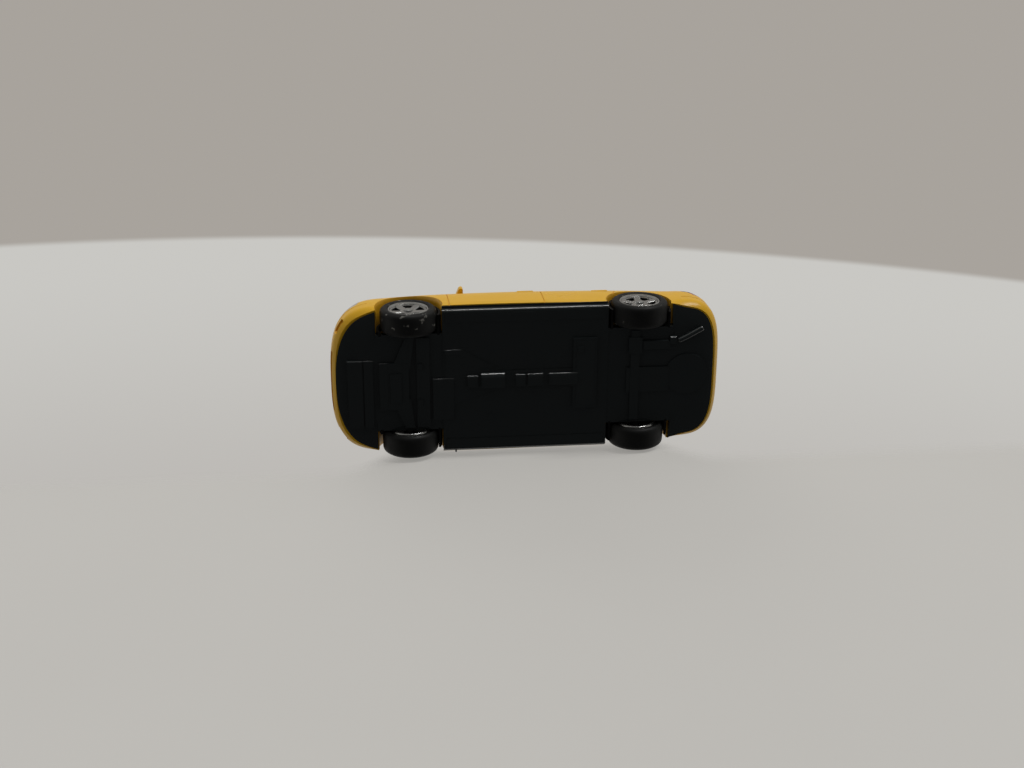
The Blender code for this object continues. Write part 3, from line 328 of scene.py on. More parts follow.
def plastic(name, colour, flow_colour, flow=0.3, grain=9.0, gloss=(0.3, 0.4), bump=0.05, **sockets):
    """A moulded plastic: colour with flow clouds, gloss from smooth to rough, and a fine grain."""
    material = bpy.data.materials.new(name)
    material.use_nodes = True
    tree = material.node_tree
    skin = add_node(tree, "Group", node_tree=MOULDED_SKIN, Colour=(*colour, 1),
                    Flow_Colour=(*flow_colour, 1), Flow_Scale=flow, Grain_Scale=grain,
                    Smooth=gloss[0], Rough=gloss[1]).outputs
    relief = add_node(tree, "Bump", Strength=bump, Distance=0.1 * METRES, Height=skin["Height"])
    sockets.update(Base_Color=skin["Colour"], Roughness=skin["Roughness"], Normal=relief.outputs["Normal"])
    for socket, value in sockets.items():
        feed(tree, tree.nodes["Principled BSDF"].inputs[socket.replace("_", " ")], value)
    return material


def pad(right, left, front, rear, depth, edge=0.0):
    """A raised oblong on the underside, the edge on its left rounded."""
    bm = block((right, front, PLATE_BOTTOM - depth), (left, rear, RELIEF_ROOT))
    if edge:
        lip = [e for e in bm.edges if all(v.co.x > left - 0.01 and v.co.z < PLATE_BOTTOM for v in e.verts)]
        rounded(bm, lip, edge, 6)
    return bm


def chassis_plate():
    """The floor that closes the shell at nose and tail, with its waist between the wheel wells."""
    inset, nose_inset, tail_inset, gap, edge = 0.72, 0.62, 0.85, 0.2, 0.1
    corner_cut, corner_half = 0.2, 9
    front_flare, rear_flare, flare_run, slope_x, slope_y = 0.3, 0.6, 2.5, 0.55, 0.45
    well_front, well_rear = FRONT_AXLE - WELL_REACH, REAR_AXLE + WELL_REACH
    loop = [(x, y) for x, y in plan_loop(inset, nose_inset, tail_inset, 18) if x >= 0]
    left = [(x, y) for x, y in loop if y < well_front - gap]
    left += [(plan_edge(well_front, inset), well_front), (WELL_INNER, well_front)]
    left += [(WELL_INNER, well_rear), (plan_edge(well_rear, inset), well_rear)]
    left += [(x, y) for x, y in loop if y > well_rear + gap]
    flat = []
    for number, (x, y) in enumerate(left):
        end, past = (well_front, well_front - y) if y < 0 else (well_rear, y - well_rear)
        if x != WELL_INNER:
            share = min(1.0, x / corner_half) ** 2
            cut = corner_cut * 4 * share * (1 - share) if y < 0 else 0.0
            flare = (front_flare if y < 0 else rear_flare) * max(0.0, 1 - past / flare_run) ** 2
            x, y = x - cut + flare, y + cut
            left[number] = (x, y)
        flat.append((x, y) if x == WELL_INNER else (x * slope_x, mix(end, y, slope_y)))
    rings = []
    for half, height in ((left, PLATE_TOP), (left, PLATE_TOP - edge), (flat, PLATE_BOTTOM)):
        outline = half + [(-x, y) for x, y in half[::-1] if x > 0]
        rings.append([(x, y, height) for x, y in outline])
    return loft(rings)


def sill_panel():
    """The flat panel between the axles, its long edges rounded, its flange and the nib of the runner. The
    thin black flange hides the underside of the shell's lip, so that a dark line of painted shade runs
    between shell and sill.
    """
    left = []
    for step in range(7):
        angle = math.pi / 2 * step / 6
        left.append((SILL_HALF - SILL_ROUND * (1 - math.sin(angle)),
                     SILL_BOTTOM + SILL_ROUND * (1 - math.cos(angle))))
    left.append((SILL_HALF, PLATE_TOP - 0.1))
    panel = prism(left + [(-x, z) for x, z in left[::-1]], "y", SILL_FRONT, SILL_REAR)
    # The flange is a dark sheet under the shell's lip: a painted shade line between shell and sill.
    flange = block((-SHADE_FLANGE_HALF, SILL_FRONT, 2.88), (SHADE_FLANGE_HALF, SILL_REAR, PLATE_TOP - 0.02))
    nib = block((-SILL_HALF - 0.25, -9.2, 2.2), (-SILL_HALF + 0.1, -9.0, 2.5), 0.05)
    return gather(panel, flange, nib)


def arc(axle_y, toward, radius, angles):
    """An arc about an axle as (y, z), its angles counted from the level line."""
    return [(axle_y + toward * radius * math.cos(a), AXLE_HEIGHT + radius * math.sin(a)) for a in angles]


def shade_lining(axle_y, side, reach=8.8, way=1):
    """A black lining of the wheel well, on the side of the sill (way 1) or of the bumper (way -1): a dark
    sheet over the yellow drum, standing for painted shade in the well.
    """
    toward, inside, outside, low, high = way if axle_y < 0 else -way, 3.7, 3.97, -21, 42
    angles = [math.radians(mix(low, high, step / 14)) for step in range(15)]
    outline = arc(axle_y, toward, inside, angles) + arc(axle_y, toward, outside, angles[::-1])
    return in_material(prism(outline, "x", *span(side, WELL_INNER - 0.14, reach)), 1)


def axle_wall(axle_y, side):
    """A round-topped wall that closes a wheel well inwards, slotted from above for the axle."""
    radius, slot, thickness, steps = HOUSING_RADIUS - FIT, 0.58, 0.7, 20
    swings = [math.acos(slot / radius) * step / steps for step in range(steps + 1)]
    seat = [-math.pi * step / steps for step in range(steps + 1)]
    outline = [(axle_y - radius, RELIEF_ROOT), (axle_y + radius, RELIEF_ROOT)]
    outline += arc(axle_y, 1, radius, swings) + arc(axle_y, 1, slot, seat)
    outline += arc(axle_y, -1, radius, swings[::-1])
    return prism(outline, "x", *span(side, WELL_INNER - FIT, WELL_INNER - FIT - thickness))


def shell_clip(side):
    """A long lip that stands up inside the flank and holds the shell."""
    inner, outer = span(side, 8.23, 8.83)
    return block((inner, -5.34, RELIEF_ROOT), (outer, 4.66, 4.4), 0.12)


def front_relief():
    """Bumper tray in two fields, sump, subframe and wishbones under the nose."""
    shapes = [
        pad(-5.8, 3.1, -22.4, -20.6, 0.2, 0.18),
        pad(-5.8, 3.1, -20.4, -19.3, 0.2, 0.18),
        pad(-3.4, 2.8, -18.5, -17.5, 0.4, 0.18),
        pad(-3.4, 2.7, -17.6, -14.9, 0.38),
        pad(-2.4, 1.4, -17.2, -15.8, 0.5),
        pad(-5.9, 5.9, -13.9, -12.3, 0.3),
        pad(-5.0, 0.5, -11.9, -9.3, 0.3, 0.15),
        pad(-3.0, -2.2, -13.8, -13.2, 0.5),
        pad(1.9, 2.6, -13.8, -13.2, 0.5),
    ]
    for side in (1, -1):
        arm = [(side * 2.0, -17.0), (side * 5.9, -15.3), (side * 5.9, -14.2), (side * 2.0, -14.7)]
        shapes.append(prism(arm, "z", RELIEF_ROOT, PLATE_BOTTOM - 0.36))
    return shapes


def middle_relief():
    """Tunnel, exhaust with its catalyser and hangers, and fuel tank under the cabin."""
    tunnel = [(-3.4, -10.3), (4.2, -10.3), (4.2, -8.3), (1.3, -3.3), (1.3, 5.6), (-0.9, 5.6), (-0.9, -3.3)]
    shapes = [
        prism(tunnel, "z", RELIEF_ROOT, PLATE_BOTTOM - 0.2),
        pad(3.6, 4.25, -10.4, -8.4, 0.26, 0.18),
        pad(-4.0, 5.3, 5.6, 8.6, 0.4),
        pad(-3.6, 4.9, 6.0, 8.3, 0.46),
        pad(3.4, 4.2, 6.2, 6.9, 0.6),
    ]
    for start, end, radius in ((-7.6, -6.3, 0.5), (-5.9, -3.0, 0.8), (-1.6, -0.4, 0.5), (-0.1, 1.8, 0.5),
                               (2.6, 6.2, 0.5)):
        shapes.append(pad(-0.75, 0.35 + radius, start, end, radius + 0.08, radius * 0.7))
    shapes.append(pad(-0.75, 0.7, -7.6, 6.0, 0.3))
    for side in (1, -1):
        shapes.append(pad(*span(side, 7.7, 8.9), -10.3, 9.6, 0.16))
        shapes.append(turned_mark(side * 6.1 + 1.2, -6.2 - side * 1.6))
    return shapes


def turned_mark(x, y):
    """The low round mark that an ejector pin leaves."""
    bm = bmesh.new()
    bmesh.ops.create_cone(bm, cap_ends=True, segments=28, radius1=0.5, radius2=0.55, depth=0.5)
    bmesh.ops.translate(bm, vec=(x, y, SILL_BOTTOM + 0.2), verts=bm.verts)
    return bm


def rear_relief():
    """Axle beam, differential, damper, silencer with tail pipe, and spare wheel well under the boot."""
    spare = [(2.7 * math.cos(a), 20.1 + 2.7 * math.sin(a)) for a in circle(48)]
    return [
        pad(-5.9, 5.9, 12.9, 14.0, 0.3),
        pad(-2.2, 1.1, 12.4, 17.8, 0.24),
        pad(3.0, 5.1, 12.6, 14.3, 0.42),
        prism(spare, "z", RELIEF_ROOT, PLATE_BOTTOM - 0.16),
        pad(3.5, 4.6, 14.4, 17.9, 0.4),
        pad(4.1, 5.1, 17.8, 18.6, 0.5, 0.18),
        pipe([(4.5, 19.0, 2.1), (4.9, 19.9, 2.1), (6.0, 21.9, 2.1)], 0.34),
    ]


# Dull black of the well linings: painted shade, kept darker and duller than the chassis so that the linings
# read as shadow.
WELL_SHADE_BLACK = plastic("well_painted_shade", (0.006, 0.006, 0.006), (0.008, 0.008, 0.008), 0.4, 8.0, (0.6, 0.7), 0.08,
                     Specular_IOR_Level=0.1)
BLACK_PLASTIC = plastic("chassis_black", (0.0135, 0.0165, 0.017), (0.0155, 0.0185, 0.019), 0.2, 7.0,
                        (0.08, 0.13), Specular_IOR_Level=0.7)
walls = []
for wall in (axle_wall, shade_lining):
    walls += [wall(axle_y, side) for axle_y in (FRONT_AXLE, REAR_AXLE) for side in (1, -1)]
for axle_y, reach in ((FRONT_AXLE, FRONT_LINING), (REAR_AXLE, REAR_LINING)):
    walls += [shade_lining(axle_y, side, reach, -1) for side in (1, -1)]
walls += [shell_clip(side) for side in (1, -1)]
chassis = make_object("chassis_moulding", gather(
    chassis_plate(), sill_panel(), *front_relief(), *middle_relief(), *rear_relief(), *walls))
fit_piece(chassis, "car", ["chassis"], [BLACK_PLASTIC, WELL_SHADE_BLACK])

# ----------------------------------------
# Axles: two steel pins, cut from wire with their ends broken. They turn in the slotted walls of
# the chassis, and each carries two pressed-on wheels.

AXLE_RADIUS, AXLE_REACH, AXLE_TIP, AXLE_BREAK = 0.5, 8.63, 0.35, 0.15


def turned(profile, steps=72):
    """A profile of (along x, radius) pairs turned about the x axis."""
    bm = bmesh.new()
    verts = [bm.verts.new((along, 0, radius)) for along, radius in profile]
    edges = [bm.edges.new(pair) for pair in zip(verts, verts[1:])]
    if profile[0][1] > 0:
        edges.append(bm.edges.new((verts[-1], verts[0])))
    bmesh.ops.spin(bm, geom=verts + edges, axis=(1, 0, 0), cent=(0, 0, 0), steps=steps,
                   angle=2 * math.pi, use_merge=True)
    bmesh.ops.remove_doubles(bm, verts=bm.verts[:], dist=0.0005)
    bmesh.ops.recalc_face_normals(bm, faces=bm.faces[:])
    return bm


STEEL = plastic("steel_wire", (0.36, 0.36, 0.35), (0.28, 0.28, 0.28), 1.2, 14.0, (0.25, 0.42), Metallic=1.0)
WHEELSETS, SIDES = (("front", FRONT_AXLE), ("rear", REAR_AXLE)), (("left", 1), ("right", -1))
for place, axle_y in WHEELSETS:
    pin = [(-AXLE_REACH, 0), (-AXLE_REACH, AXLE_TIP), (-AXLE_REACH + AXLE_BREAK, AXLE_RADIUS),
           (AXLE_REACH - AXLE_BREAK, AXLE_RADIUS), (AXLE_REACH, AXLE_TIP), (AXLE_REACH, 0)]
    bm = turned(pin, 32)
    bmesh.ops.translate(bm, vec=(0, axle_y, AXLE_HEIGHT), verts=bm.verts)
    axle = make_object(f"{place}_axle_pin", bm)
    fit_piece(axle, f"{place}_wheelset", [f"{place}_axle"], [STEEL])

# ----------------------------------------
# Rims: silver-painted plastic wheels with five dished spokes, moulded with a cap over the blind
# bore that takes the axle. Each is pressed on the pin, its lip just inside the tyre's wall.

REAR_TRACK, FRONT_TRACK = 8.1, 7.95
RIM_RADIUS, RIM_LIP, SPOKES = 2.51, 1.375, 5


def spoke_disc():
    """The face of a rim: a dished disc with an opening between each two spokes, its rims rounded."""
    face, thickness, dish, edge, edge_segments = 1.22, 0.6, 0.28, 0.2, 4
    outer, tip, root, spoke = 2.25, 2.0, 1.1, 0.9
    bm = bmesh.new()

    def opening(points):
        return edge_loop(bm, [(face - thickness, r * math.sin(a), r * math.cos(a)) for r, a in points])

    edges = opening([(outer, a) for a in circle(80)])
    inner_swing, outer_swing = (math.pi / SPOKES - math.asin(spoke / 2 / radius) for radius in (root, tip))
    for middle in circle(SPOKES):
        points = [(root, middle - inner_swing)]
        points += [(tip, middle + mix(-outer_swing, outer_swing, step / 8)) for step in range(9)]
        edges += opening(points + [(root, middle + inner_swing)])
    bmesh.ops.triangle_fill(bm, use_beauty=True, use_dissolve=False, edges=edges, normal=(1, 0, 0))
    push(bm, (thickness, 0, 0))
    front = [e for e in bm.edges if min(v.co.x for v in e.verts) > face - 0.01]
    rounded(bm, [e for e in front if e.calc_face_angle(0.0) > 1.0], edge, edge_segments)
    for vert in bm.verts:
        vert.co.x -= dish * (1 - vert.co.yz.length / outer)
    return bm


def rim_shapes():
    """Barrel with its lip, spoke disc, hub cap and the boss behind it."""
    barrel = [(0.72, 2.11), (1.05, 2.16), (1.28, 2.27), (RIM_LIP, 2.34), (RIM_LIP, 2.44), (1.33, RIM_RADIUS),
              (-1.0, RIM_RADIUS), (-1.2, RIM_RADIUS), (-1.33, 2.48), (-1.42, 2.42), (-1.48, 2.34),
              (-1.5, 2.25), (-1.47, 2.16), (-1.38, 2.09), (-1.2, 2.05)]
    cap = [(1.3, 0), (1.295, 0.25), (1.26, 0.42), (1.2, 0.52), (0.95, 0.6), (0.5, 0.6), (0.5, 0)]
    boss = [(0.6, AXLE_RADIUS), (0.6, 1.0), (-0.65, 1.0), (-0.72, 0.93), (-0.72, AXLE_RADIUS)]
    shapes = [turned(barrel, 96), spoke_disc(), turned(cap, 48), turned(boss, 48)]
    for shape in shapes:
        for face in shape.faces:
            middle = face.calc_center_median()
            hidden = middle.x < 1.0 and (middle.yz.length < 2.3 or abs(middle.x) < 1.2)
            face.material_index = 2 if middle.x < -1.15 else 1 if hidden else 0
    return shapes


SILVER = plastic("silver_paint", (0.33, 0.33, 0.32), (0.25, 0.25, 0.245), 2.0, 16.0, (0.2, 0.28), 0.08,
                 Metallic=0.85)
LIP_SILVER = plastic("lip_silver", (0.33, 0.33, 0.32), (0.28, 0.28, 0.275), 2.0, 16.0, (0.15, 0.2), 0.02,
                     Metallic=0.9)
WHEEL_BLACK = plastic("wheel_black", (0.008, 0.008, 0.008), (0.011, 0.011, 0.011), 0.8, 12.0, (0.35, 0.45),
                      0.08)


def set_wheel(bm, side, axle_y):
    """Moves a wheel shape, made facing left, to its place; the rear ones are turned by half a spoke."""
    turn = Matrix.Rotation(0 if side > 0 else math.pi, 4, "Z")
    turn = turn @ Matrix.Rotation(0 if axle_y < 0 else math.pi / SPOKES, 4, "X")
    centre = FRONT_TRACK if axle_y < 0 else REAR_TRACK
    place = Matrix.Translation((side * centre, axle_y, AXLE_HEIGHT))
    bmesh.ops.transform(bm, matrix=place @ turn, verts=bm.verts)
    return bm


for place, axle_y in WHEELSETS:
    for name, side in SIDES:
        bm = set_wheel(gather(*rim_shapes()), side, axle_y)
        rim = make_object(f"{place}_{name}_wheel", bm)
        fit_piece(rim, f"{place}_wheelset", [f"{place}_{name}_rim"],
                  [SILVER, WHEEL_BLACK, LIP_SILVER])

# ----------------------------------------
# Tyres: smooth black rings of soft plastic stretched over the rims, with a stepped shoulder and
# no tread. The left front one has picked up lint.

TYRE_HALF, LINT_GREY = 1.475, (0.15, 0.145, 0.13, 1)


def lint():
    """Mask of dust specks that stick to soft plastic."""
    group, given, result = node_group("lint", ["Amount"], ["Mask"])
    place = on_piece(group)
    specks = ramp(group, noise(group, place, 1.5, 5.0), 0.61, 0.67)
    patches = figure(group, "GREATER_THAN", given["Amount"], noise(group, place, 1.1))
    feed(group, result["Mask"], figure(group, "MULTIPLY", specks, patches))
    return group


LINT = lint()


def tyre_rubber(name, amount):
    """Black soft plastic with grey lint on it, in an amount from 0 to 1."""
    material = plastic(name, (0.009, 0.0094, 0.009), (0.012, 0.012, 0.0116), 0.8, 10.0, (0.45, 0.6), 0.12,
                       Specular_IOR_Level=0.12)
    tree = material.node_tree
    base = tree.nodes["Principled BSDF"].inputs["Base Color"]
    specks = add_node(tree, "Group", node_tree=LINT, Amount=amount).outputs["Mask"]
    feed(tree, base, blend(tree, specks, base.links[0].from_socket, LINT_GREY))
    return material


def tyre():
    """A ring with a rounded tread, a stepped shoulder outside and a plain wall inside."""
    outer = [(1.36, 2.57), (1.44, 2.66), (TYRE_HALF, 2.82), (TYRE_HALF, 3.0), (1.44, 3.16), (1.4, 3.2),
             (1.36, 3.28), (1.26, 3.39), (1.12, 3.47), (0.92, 3.515), (0.5, 3.53)]
    inner = [(-along, radius) for along, radius in reversed(outer) if radius > 3.1]
    return turned(outer + inner + [(-1.36, 3.0), (-1.34, 2.57)], 112)


CLEAN_TYRE, LINTY_TYRE = tyre_rubber("tyre_clean", 0.36), tyre_rubber("tyre_linty", 0.55)
for place, axle_y in WHEELSETS:
    for name, side in SIDES:
        ring = make_object(f"{place}_{name}_tyre_ring", set_wheel(tyre(), side, axle_y))
        rubber = LINTY_TYRE if (place, name) == ("front", "left") else CLEAN_TYRE
        fit_piece(ring, f"{place}_wheelset", [f"{place}_{name}_tyre"], [rubber])

# ----------------------------------------
# Interior tub: one dark grey plastic moulding with floor, seats, dashboard and parcel shelf. It
# stands on the chassis inside the shell, and its two tongues keep the axles in their slots.

TUB_HALF, TUB_BASE, TUB_TOP, DASH_FRONT, BENCH_REAR, SEAT_X = 7.5, 3.06, 3.66, -9.1, 9.28, 3.8


def seat(x):
    """A front seat: cushion and back drawn from the side, with bolsters and a headrest."""
    cushion = [(-1.75, 3.5), (-1.8, 5.7), (-1.3, 6.15), (2.0, 5.6), (2.0, 3.5)]
    back = [(1.0, 5.0), (1.75, 10.9), (2.2, 11.2), (2.7, 11.1), (2.95, 10.6), (2.6, 4.2), (1.2, 4.2)]
    shapes = [
        prism(cushion, "x", x - 2.2, x + 2.2, 0.3, 0.3),
        prism(back, "x", x - 2.15, x + 2.15, 0.3, 0.3),
        block((x - 1.1, 1.95, 11.55), (x + 1.1, 2.9, 12.85), 0.4),
        *(pipe([(rod, 2.45, 11.0), (rod, 2.45, 11.9)], 0.12, 10) for rod in (x - 0.5, x + 0.5)),
    ]
    for side in (1, -1):
        edge = x + side * 1.9
        shapes.append(block((edge - 0.4, -1.6, 4.0), (edge + 0.4, 1.6, 6.5), 0.35))
        shapes.append(block((edge - 0.35, 1.2, 6.0), (edge + 0.35, 2.6, 10.4), 0.33))
    return shapes


def tub_shapes():
    """Floor, dashboard with its binnacle, console, bench, shelf and the two axle tongues."""
    dash = [(DASH_FRONT + 0.15, 3.4), (DASH_FRONT + 0.15, 9.0), (DASH_FRONT + 1.9, 9.3), (-6.35, 8.4),
            (-6.9, 6.6), (-7.4, 3.4)]
    bench_back = [(7.6, 5.0), (8.1, 10.9), (8.5, 11.2), (8.98, 11.0), (8.98, 3.6), (7.7, 3.6)]
    bench = [(4.8, 3.4), (4.75, 5.7), (5.2, 6.2), (9.1, 5.8), (9.1, 3.4)]
    return [
        block((-TUB_HALF, DASH_FRONT, TUB_BASE), (TUB_HALF, BENCH_REAR, TUB_TOP), 0.15),
        prism(dash, "x", -7.3, 7.3, 0.25, 0.3),
        block((2.2, -7.6, 8.4), (5.4, -6.2, 9.45), 0.4),
        block((-0.9, -8.9, 3.5), (0.9, 9.1, 5.05), 0.25),
        pipe([(0, -4.6, 4.9), (0, -4.8, 6.3)], 0.12, 10),
        block((-0.28, -5.05, 6.1), (0.28, -4.55, 6.65), 0.2),
        prism(bench, "x", -7.3, 7.3, 0.3, 0.35),
        prism(bench_back, "x", -5.9, 5.9, 0.3, 0.35),
        block((-4.5, 8.4, 10.3), (4.5, 11.28, 10.7), 0.12),
        block((-3, -15.74, 4.11), (3, -7.7, 4.71), 0.15),
        block((-3, 6.98, 4.11), (3, 15.06, 4.71), 0.15),
    ]


GREY_PLASTIC = plastic("tub_grey", (0.045, 0.046, 0.048), (0.036, 0.037, 0.039), 0.4, 8.0, (0.5, 0.62), 0.15)
tub = make_object("interior_moulding", gather(*tub_shapes(), *seat(SEAT_X), *seat(-SEAT_X)))
fit_piece(tub, "car", ["interior_tub"], [GREY_PLASTIC])

# ----------------------------------------
# Steering wheel: a small black plastic ring with three arms, moulded with its column, which plugs
# into the dash.

WHEEL_HUB, WHEEL_RAKE = Vector((SEAT_X, -5.04, 8.07)), math.radians(28)
WHEEL_RADIUS, WHEEL_RIM = 1.9, 0.24


def steering_shapes():
    """Ring, arms, hub and column about the x axis, which points down the column."""
    section = [(WHEEL_RIM * math.sin(a), WHEEL_RADIUS + WHEEL_RIM * math.cos(a)) for a in circle(12)]
    ring = turned(section, 64)
    shapes = [ring, turned([(-0.22, 0), (-0.22, 0.45), (-0.1, 0.62), (0.24, 0.62), (0.24, 0)], 40)]
    for number in range(3):
        angle = math.radians(33 + 120 * number)
        end = Vector((0, math.cos(angle), math.sin(angle))) * WHEEL_RADIUS
        shapes.append(pipe([end * 0.2, end * 0.97], 0.17, 10))
    shapes.append(pipe([(0.1, 0, 0), (2.5, 0, 0)], 0.3, 16))
    return shapes


down = Vector((0, -math.cos(WHEEL_RAKE), -math.sin(WHEEL_RAKE)))
across = Vector((1, 0, 0))
bm = gather(*steering_shapes())
turn = Matrix((down, across, down.cross(across))).transposed().to_4x4()
bmesh.ops.transform(bm, matrix=Matrix.Translation(WHEEL_HUB) @ turn, verts=bm.verts)
BLACK_TRIM = plastic("trim_black", (0.012, 0.012, 0.012), (0.016, 0.016, 0.016), 0.6, 8.0, (0.4, 0.5), 0.1)
fit_piece(make_object("steering_ring", bm), "car", ["steering_wheel"], [BLACK_TRIM])

# ----------------------------------------
# Glazing: all windows in clear plastic, pushed into the shell from below so that the panes fill
# the openings almost flush with the yellow pillars.

BELT, RAIL, RAIL_DROP, BELT_HALF, RAIL_HALF = 9.2, 14.9, 1.5, 8.4, 6.6
SCREEN, BACKLIGHT = (-11.2, -3.7), (16.7, 9.9)
CABIN_POWER, ROOF_POWER, CABIN_ROOT, PILLAR, POST, PILLAR_Y = 4.0, 2.3, 1.2, 2.5, 0.4, 2.2
SLANT, SILL_RISE, REAR_SILL_RISE, HEAD_DROP, WINDOW_CORNER = 1.6, 1.1, 1.9, 0.2, 0.5
PANE_OUTSIDE, PANE_INSIDE = 0.1, 0.6


def cabin_loop(half, front, rear, height, steps=160):
    """A level of the cabin: a rounded oblong with bowed ends."""
    ring = []
    for step in range(steps):
        angle = 2 * math.pi * (step + 0.5) / steps
        across, along = (math.copysign(abs(way) ** (2 / CABIN_POWER), way)
                         for way in (math.sin(angle), math.cos(angle)))
        ring.append((half * across, mix(front, rear, (1 - along) / 2), height))
    return ring


def cabin_form(skin):
    """Glasshouse and roof, drawn in by skin, rooted below the shoulder of the body."""
    slant, rail, rings = skin * SLANT, RAIL - skin, []
    for level in range(9):
        height = mix(BELT - CABIN_ROOT, rail, level / 8)
        climb = (height - BELT) / (RAIL - BELT)
        half = mix(BELT_HALF, RAIL_HALF, climb) - skin
        front, rear = mix(*SCREEN, climb) + slant, mix(*BACKLIGHT, climb) - slant
        rings.append(cabin_loop(half, front, rear, height))
    middle = (front + rear) / 2
    for step in range(1, 18):
        rise, share = bow(step, 18, ROOF_POWER)
        ends = mix(middle, front, share), mix(middle, rear, share)
        rings.append(cabin_loop(half * share, *ends, rail + RAIL_DROP * rise))
    return loft(rings)


def screen_y(screen, height):
    """Where a screen's slant stands at a height."""
    return mix(*screen, (height - BELT) / (RAIL - BELT))


def door_windows(shrink):
    """The side windows as bars through the cabin, each side moved in by shrink."""
    sill, head, reach = BELT + SILL_RISE + shrink, RAIL - HEAD_DROP - shrink, WIDTH / 2 + 1
    inset, post = PILLAR + shrink * SLANT, POST + shrink
    front = [(screen_y(SCREEN, sill) + inset, sill), (PILLAR_Y - post, sill), (PILLAR_Y - post, head),
             (screen_y(SCREEN, head) + inset, head)]
    rear = [(PILLAR_Y + post, sill), (screen_y(BACKLIGHT, sill) - inset, sill),
            (screen_y(BACKLIGHT, head) - inset, head), (PILLAR_Y + post, head)]
    return [prism(outline, "x", -reach, reach, WINDOW_CORNER) for outline in (front, rear)]


def end_windows(shrink):
    """Windscreen and rear screen as bars from the ends of the cabin."""
    head = RAIL - HEAD_DROP - shrink
    low, high = BELT_HALF - 1.75 - shrink, RAIL_HALF - 1.0 - shrink
    bars = []
    for (base, top), rise in ((SCREEN, SILL_RISE), (BACKLIGHT, REAR_SILL_RISE)):
        foot, start, end = BELT + rise + shrink, top - math.copysign(0.2, base), base + math.copysign(1, base)
        outline = [(-low, foot), (low, foot), (high, head), (-high, head)]
        bars.append(prism(outline, "y", start, end, WINDOW_CORNER))
    return bars


def combine(target, tool, operation):
    """Cuts a tool from an object, joins it or keeps what both hold; the tool is used up."""
    modifier = target.modifiers.new("shape", "BOOLEAN")
    modifier.operation, modifier.solver, modifier.object = operation, "EXACT", tool
    shaped = bpy.data.meshes.new_from_object(target.evaluated_get(bpy.context.evaluated_depsgraph_get()))
    target.modifiers.clear()
    spent = [target.data, tool.data]
    target.data = shaped
    bpy.data.objects.remove(tool)
    for mesh in spent:
        bpy.data.meshes.remove(mesh)
    return target


def form(bm, materials, number=0):
    """A shape as an object for cutting, all its faces in one of the materials."""
    bmesh.ops.triangulate(bm, faces=bm.faces[:])
    obj = make_object("form", in_material(bm, number))
    for material in materials:
        obj.data.materials.append(material)
    return obj


def taken_up(*objects):
    """Turns objects back into one shape, in millimetres."""
    bm = bmesh.new()
    for obj in objects:
        bm.from_mesh(obj.data)
        bpy.data.objects.remove(obj)
    bmesh.ops.scale(bm, vec=(1 / METRES,) * 3, verts=bm.verts)
    return bm


WINDOW_COLOUR = (0.93, 0.94, 0.93)
CLEAR_PLASTIC = plastic("window_clear", WINDOW_COLOUR, [c * 0.97 for c in WINDOW_COLOUR], 0.5, 2.0,
                        (0.03, 0.048), 0.02, Transmission_Weight=1.0, IOR=1.49)
panes = []
for bars in (door_windows(FIT), end_windows(FIT)):
    pane = form(cabin_form(PANE_OUTSIDE), [CLEAR_PLASTIC])
    combine(pane, form(gather(*bars), [CLEAR_PLASTIC]), "INTERSECT")
    combine(pane, form(cabin_form(PANE_INSIDE), [CLEAR_PLASTIC]), "DIFFERENCE")
    panes.append(pane)
windows = make_object("window_panes", taken_up(*panes))
fit_piece(windows, "car", ["glazing"], [CLEAR_PLASTIC])

# ----------------------------------------
# Lamps: fluted silver-white and red plastic inserts that continue the skin of the shell. They are
# silvered behind and pressed into seats in its wall.

SHELL_WALL, SKIRT, FLANK_LOW, FLANK_HIGH, SHOULDER_IN, SHOULDER_POWER = 0.6, 3.06, 4.2, 5.6, 1.7, 2.4
TUCK_IN, END_TUCK, END_START, END_RUN = 0.08, 0.6, 17.5, 3.5
NOSE_RAKE, TAIL_RAKE, COWL, NOSE_DECK, COWL_DECK, TAIL_DECK, CROWN = 2.4, 1.5, -10.5, 7.6, 9.5, 10.1, 0.8
INSERT_DEPTH, INSERT_CORNER, INSERT_RECESS = 4.2, 0.3, 0.03


def deck_height(x, y):
    """Height of bonnet and boot lid, which climb to the cowl and crown across the car."""
    if y < COWL:
        edge = mix(COWL_DECK, NOSE_DECK, (1 - (y - NOSE) / (COWL - NOSE)) ** 2)
    else:
        edge = mix(COWL_DECK, TAIL_DECK, (y - COWL) / (TAIL - COWL))
    return edge + CROWN * (1 - (x / half_width(y)) ** 2)


def flank_ring(skin, height, level):
    """A ring of the flank at a height, shaped as at level: it curves under most at nose and tail."""
    low = max(0.0, (FLANK_LOW - level) / (FLANK_LOW - SKIRT)) ** 2
    tuck, end = TUCK_IN * low, END_TUCK * low
    ring = []
    for x, y in plan_loop(skin + tuck, skin + end, skin + end):
        reach = max(0.0, min(1.0, (abs(y) - END_START) / END_RUN))
        x -= (end - tuck) * reach**2 * (3 - 2 * reach) * x / half_width(y)
        ring.append((x, y, height))
    return ring


